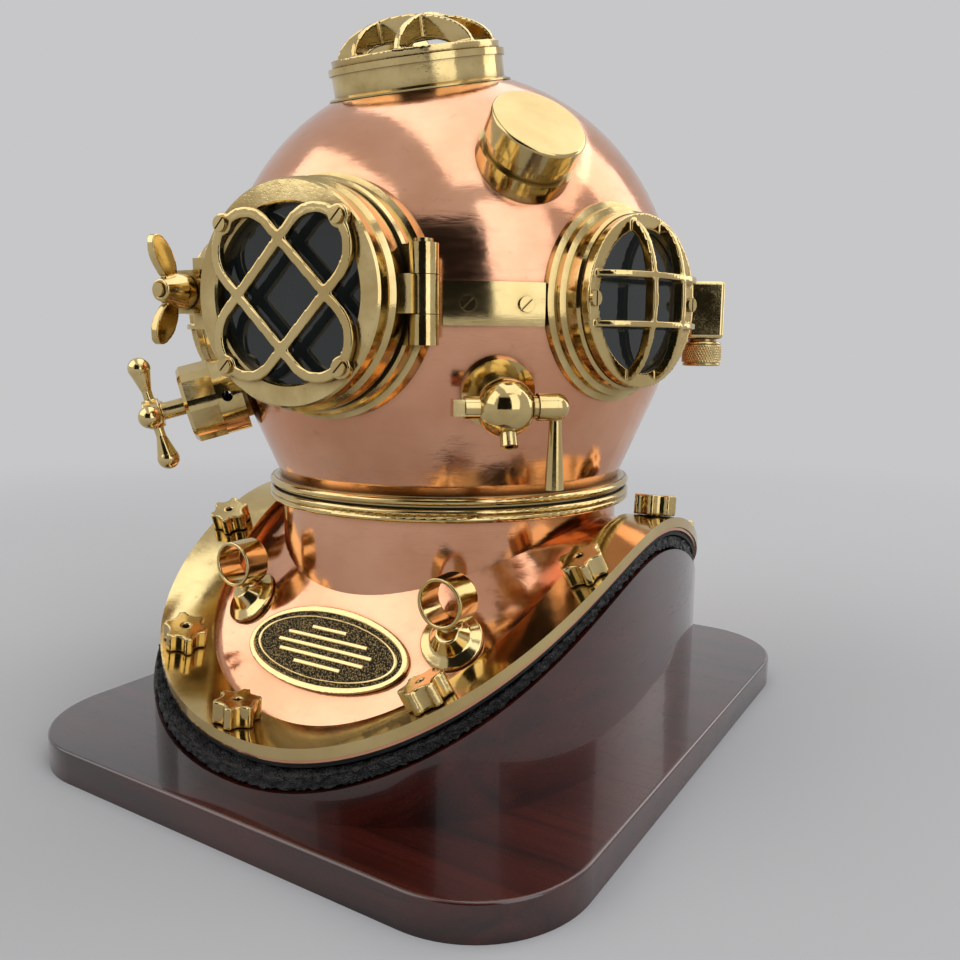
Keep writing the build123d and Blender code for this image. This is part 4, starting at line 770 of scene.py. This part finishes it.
class HELMET_OT_copper(bpy.types.Operator):
    """Polishes the copper bonnet and breastplate."""

    bl_idname = "helmet.copper"
    bl_label = "Copper"

    def execute(self, context):
        look = finish()
        tones = as_tuple(look.copper), as_tuple(look.copper_deep), as_tuple(look.tarnish_and_shade)
        copper = polished("polished_copper", *tones, look.tarnish_and_shade_share, shine=0.11, ripple=2.4)
        wear(COPPER_NODES, copper)
        return {"FINISHED"}


class HELMET_OT_brass(bpy.types.Operator):
    """Finishes rings, valves, guards and fastenings in polished and cast brass."""

    bl_idname = "helmet.brass"
    bl_label = "Brass"

    def execute(self, context):
        look = finish()
        tones = as_tuple(look.brass), as_tuple(look.brass_deep), as_tuple(look.tarnish_and_shade)
        bright = polished("polished_brass", *tones, look.tarnish_and_shade_share, shine=0.10, ripple=1.0)
        wear(POLISHED_NODES, bright)
        wear(CAST_NODES, cast_brass("cast_brass", *tones))
        for node, voxel, rounds in EASED_NODES:
            piece = eased(node, voxel * MM, rounds)
            piece.data.materials.append(bright)
        return {"FINISHED"}


class HELMET_OT_glass_and_joints(bpy.types.Operator):
    """Finishes window glass, jointing, spring and receiver front."""

    bl_idname = "helmet.glass_and_joints"
    bl_label = "Glass and joints"

    def execute(self, context):
        wear(GLASS_NODES, thick_glass("window_glass"))
        wear(RUBBER_NODES, matt_rubber("jointing_rubber"))
        wear(("exhaust_spring",), spring_wire("spring_wire"))
        wear(("receiver_speaker",), speaker_cloth("receiver_front"))
        return {"FINISHED"}


class HELMET_OT_stand(bpy.types.Operator):
    """Varnishes the stand's planks and blocks."""

    bl_idname = "helmet.stand"
    bl_label = "Stand"

    def execute(self, context):
        look = finish()
        tones = as_tuple(look.wood_dark), as_tuple(look.wood_red)
        across = ("base_plank_front", "base_plank_rear", "plinth_front", "plinth_rear")
        wear(across, varnished_wood("mahogany_across", "X", *tones))
        wear(("plinth_left", "plinth_right"), varnished_wood("mahogany_along", "Y", *tones))
        return {"FINISHED"}


class HELMET_OT_pad(bpy.types.Operator):
    """Creases the black pad that the flange rests on."""

    bl_idname = "helmet.pad"
    bl_label = "Pad"

    def execute(self, context):
        voxel = 1.3 * MM
        pad = fine_copy("plinth_pad", "plinth_pad_creased", voxel)
        creased(pad, voxel, depth=2.2 * MM, cell=7.0 * MM)
        pad.data.materials.append(crinkled_black("crinkled_black"))
        return {"FINISHED"}


class HELMET_OT_name_plate(bpy.types.Operator):
    """Finishes the bare plate on the breastplate."""

    bl_idname = "helmet.name_plate"
    bl_label = "Plate"

    def execute(self, context):
        look = finish()
        plate = fine_copy("name_plate", "name_plate_relief", voxel=0.5 * MM)
        plate_relief(plate, height=0.9 * MM)
        metal = plate_metal("plate_metal", as_tuple(look.brass), as_tuple(look.brass_deep))
        plate.data.materials.append(metal)
        return {"FINISHED"}


class HELMET_OT_unions(bpy.types.Operator):
    """Turns the knurled caps of the air and telephone unions."""

    bl_idname = "helmet.unions"
    bl_label = "Unions"

    def execute(self, context):
        metal = bpy.data.materials["polished_brass"]
        for body, node in (("air_union", "air_union_cap"), ("phone_union", "phone_union_cap")):
            cap = knurled_cap(node + "_knurled", node, depth=0.6 * MM, teeth=44, pitch=3.6 * MM)
            cap.data.materials.append(metal)
            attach(cap, body)
            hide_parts(node)
        return {"FINISHED"}


class HELMET_OT_stage(bpy.types.Operator):
    """Sets up floor, backdrop, lamps, world and camera."""

    bl_idname = "helmet.stage"
    bl_label = "Stage"

    def execute(self, context):
        stage = context.scene.helmet_stage
        context.scene.view_settings.view_transform = "Standard"
        floor = as_tuple(stage.floor)
        self.floor(self.paper(floor))
        context.scene.world = self.studio(floor)
        for name, place, width, height, share, colour in LAMPS:
            lamp = bpy.data.lights.new(name, "AREA")
            lamp.shape = "RECTANGLE"
            lamp.size = width
            lamp.size_y = height
            lamp.energy = stage.key_power * share
            lamp.color = colour
            holder = bpy.data.objects.new(name, lamp)
            aim = Vector(LAMP_AIM) - Vector(place)
            holder.location = place
            holder.rotation_euler = aim.to_track_quat("-Z", "Y").to_euler()
            context.scene.collection.objects.link(holder)
        self.screen()
        self.camera(context, stage)
        return {"FINISHED"}

    @staticmethod
    def screen():
        """A dark screen behind the camera, which camera rays pass through.

        u is the turn along an arc about the object, on the camera's side, and v the height.
        """
        cloth = Shader("screen_cloth")
        weave = cloth.noise(cloth.place(), 30.0, 2.0, 0.5)
        dark = cloth.blend(weave.ramp(0.3, 0.7), (0.020, 0.019, 0.018), (0.035, 0.033, 0.031))
        turns, heights = np.radians(np.linspace(*SCREEN_TURNS, 13)), np.linspace(*SCREEN_HEIGHTS, 5)
        u, v = np.meshgrid(turns, heights, indexing="ij")
        points = np.stack([SCREEN_REACH * np.sin(u), -SCREEN_REACH * np.cos(u), v], axis=-1)
        matt = cloth.add("ShaderNodeBsdfDiffuse", None, {"Color": dark})
        clear = cloth.add("ShaderNodeBsdfTransparent")
        piece = grid_mesh("dark_screen", points)
        piece.data.materials.append(cloth.mixed(cloth.ray("Is Camera Ray"), matt, clear))
        return piece

    @staticmethod
    def paper(floor):
        """Lit paper near the object that turns into an even backdrop further off."""
        shader = Shader("stage_paper")
        tone = shader.noise(shader.place(), 1.5, 2.0, 0.5)
        colour = shader.blend(tone.ramp(0.3, 0.7), tuple(part * 0.985 for part in floor), floor)
        across = shader.along((1.0, 0.0, 0.0))
        away = shader.along((0.0, 1.0, 0.0))
        reach = (across**2.0 + away**2.0) ** 0.5
        seen = shader.ray("Is Camera Ray").larger(shader.ray("Is Glossy Ray"))
        lit = shader.add("ShaderNodeBsdfDiffuse", None, {"Color": colour, "Roughness": 0.6})
        glow = shader.add("ShaderNodeEmission", None, {"Color": (*floor, 1.0), "Strength": 1.0})
        return shader.mixed(reach.ramp(0.55, 1.9) * seen, lit, glow)

    @staticmethod
    def floor(paper):
        """A round floor: u is the turn about the object and v the reach of each wider ring."""
        reach = FLOOR_REACH * np.linspace(0.0, 1.0, 25) ** 2
        turns = np.linspace(0.0, 2.0 * math.pi, 64, endpoint=False)
        u, v = np.meshgrid(turns, reach, indexing="ij")
        points = np.stack([v * np.cos(u), v * np.sin(u), np.zeros_like(u)], axis=-1)
        piece = grid_mesh("floor", points, wrap_u=True)
        piece.data.materials.append(paper)
        return piece

    @staticmethod
    def studio(floor):
        """A world as pale as the floor where it is seen or mirrored, and dimmer as a light."""
        shader = Shader("studio", "worlds")
        mirrored = shader.ray("Is Glossy Ray").larger(shader.ray("Is Transmission Ray"))
        shown = shader.ray("Is Camera Ray").larger(mirrored)
        tone = shader.blend(shown, WORLD_LIGHT, floor)
        sky = shader.add("ShaderNodeBackground", None, {"Color": tone})
        shader.add("ShaderNodeOutputWorld", None, {"Surface": Signal(shader, sky.outputs[0])})
        return shader.block

    @staticmethod
    def camera(context, stage):
        """Places the camera from its azimuth, elevation, roll, aim and distance."""
        azimuth, elevation, roll = stage.azimuth, stage.elevation, stage.roll
        back = Vector(
            (
                math.sin(azimuth) * math.cos(elevation),
                -math.cos(azimuth) * math.cos(elevation),
                math.sin(elevation),
            )
        )
        right = Vector((math.cos(azimuth), math.sin(azimuth), 0.0))
        up = back.cross(right)
        rolled_right = right * math.cos(roll) + up * math.sin(roll)
        rolled_up = up * math.cos(roll) - right * math.sin(roll)
        aim = right * stage.aim_side + Vector((0.0, 0.0, stage.aim_height))
        data = bpy.data.cameras.new("camera")
        data.sensor_width = SENSOR_WIDTH
        data.lens = stage.lens / PICTURE_WIDTH * SENSOR_WIDTH
        data.clip_start = 0.02
        holder = bpy.data.objects.new("camera", data)
        turn = Matrix((rolled_right, rolled_up, back)).transposed()
        holder.matrix_world = Matrix.Translation(aim + back * stage.distance) @ turn.to_4x4()
        context.scene.collection.objects.link(holder)
        context.scene.camera = holder


class HELMET_PT_panel(bpy.types.Panel):
    """Lists the helmet's pieces and settings."""

    bl_idname = "HELMET_PT_panel"
    bl_label = "Diving helmet"
    bl_space_type = "VIEW_3D"
    bl_region_type = "UI"
    bl_category = "Helmet"

    def draw(self, context):
        for operator in OPERATORS:
            self.layout.operator(operator.bl_idname)
        for group in (context.scene.helmet_finish, context.scene.helmet_stage):
            for key in group.__annotations__:
                self.layout.prop(group, key)


OPERATORS = (
    HELMET_OT_copper,
    HELMET_OT_brass,
    HELMET_OT_glass_and_joints,
    HELMET_OT_stand,
    HELMET_OT_pad,
    HELMET_OT_name_plate,
    HELMET_OT_unions,
    HELMET_OT_stage,
)
CLASSES = (HelmetFinish, HelmetStage, *OPERATORS, HELMET_PT_panel)


def register():
    """Registers the classes and gives the scene its two groups of settings."""
    for cls in CLASSES:
        bpy.utils.register_class(cls)
    bpy.types.Scene.helmet_finish = bpy.props.PointerProperty(type=HelmetFinish)
    bpy.types.Scene.helmet_stage = bpy.props.PointerProperty(type=HelmetStage)


def unregister():
    """Takes the settings and classes away again."""
    del bpy.types.Scene.helmet_stage
    del bpy.types.Scene.helmet_finish
    for cls in reversed(CLASSES):
        bpy.utils.unregister_class(cls)


def main():
    """Builds every piece in order."""
    register()
    bpy.ops.helmet.copper()
    bpy.ops.helmet.brass()
    bpy.ops.helmet.glass_and_joints()
    bpy.ops.helmet.stand()
    bpy.ops.helmet.pad()
    bpy.ops.helmet.name_plate()
    bpy.ops.helmet.unions()
    bpy.ops.helmet.stage()


if __name__ == "__main__":
    main()
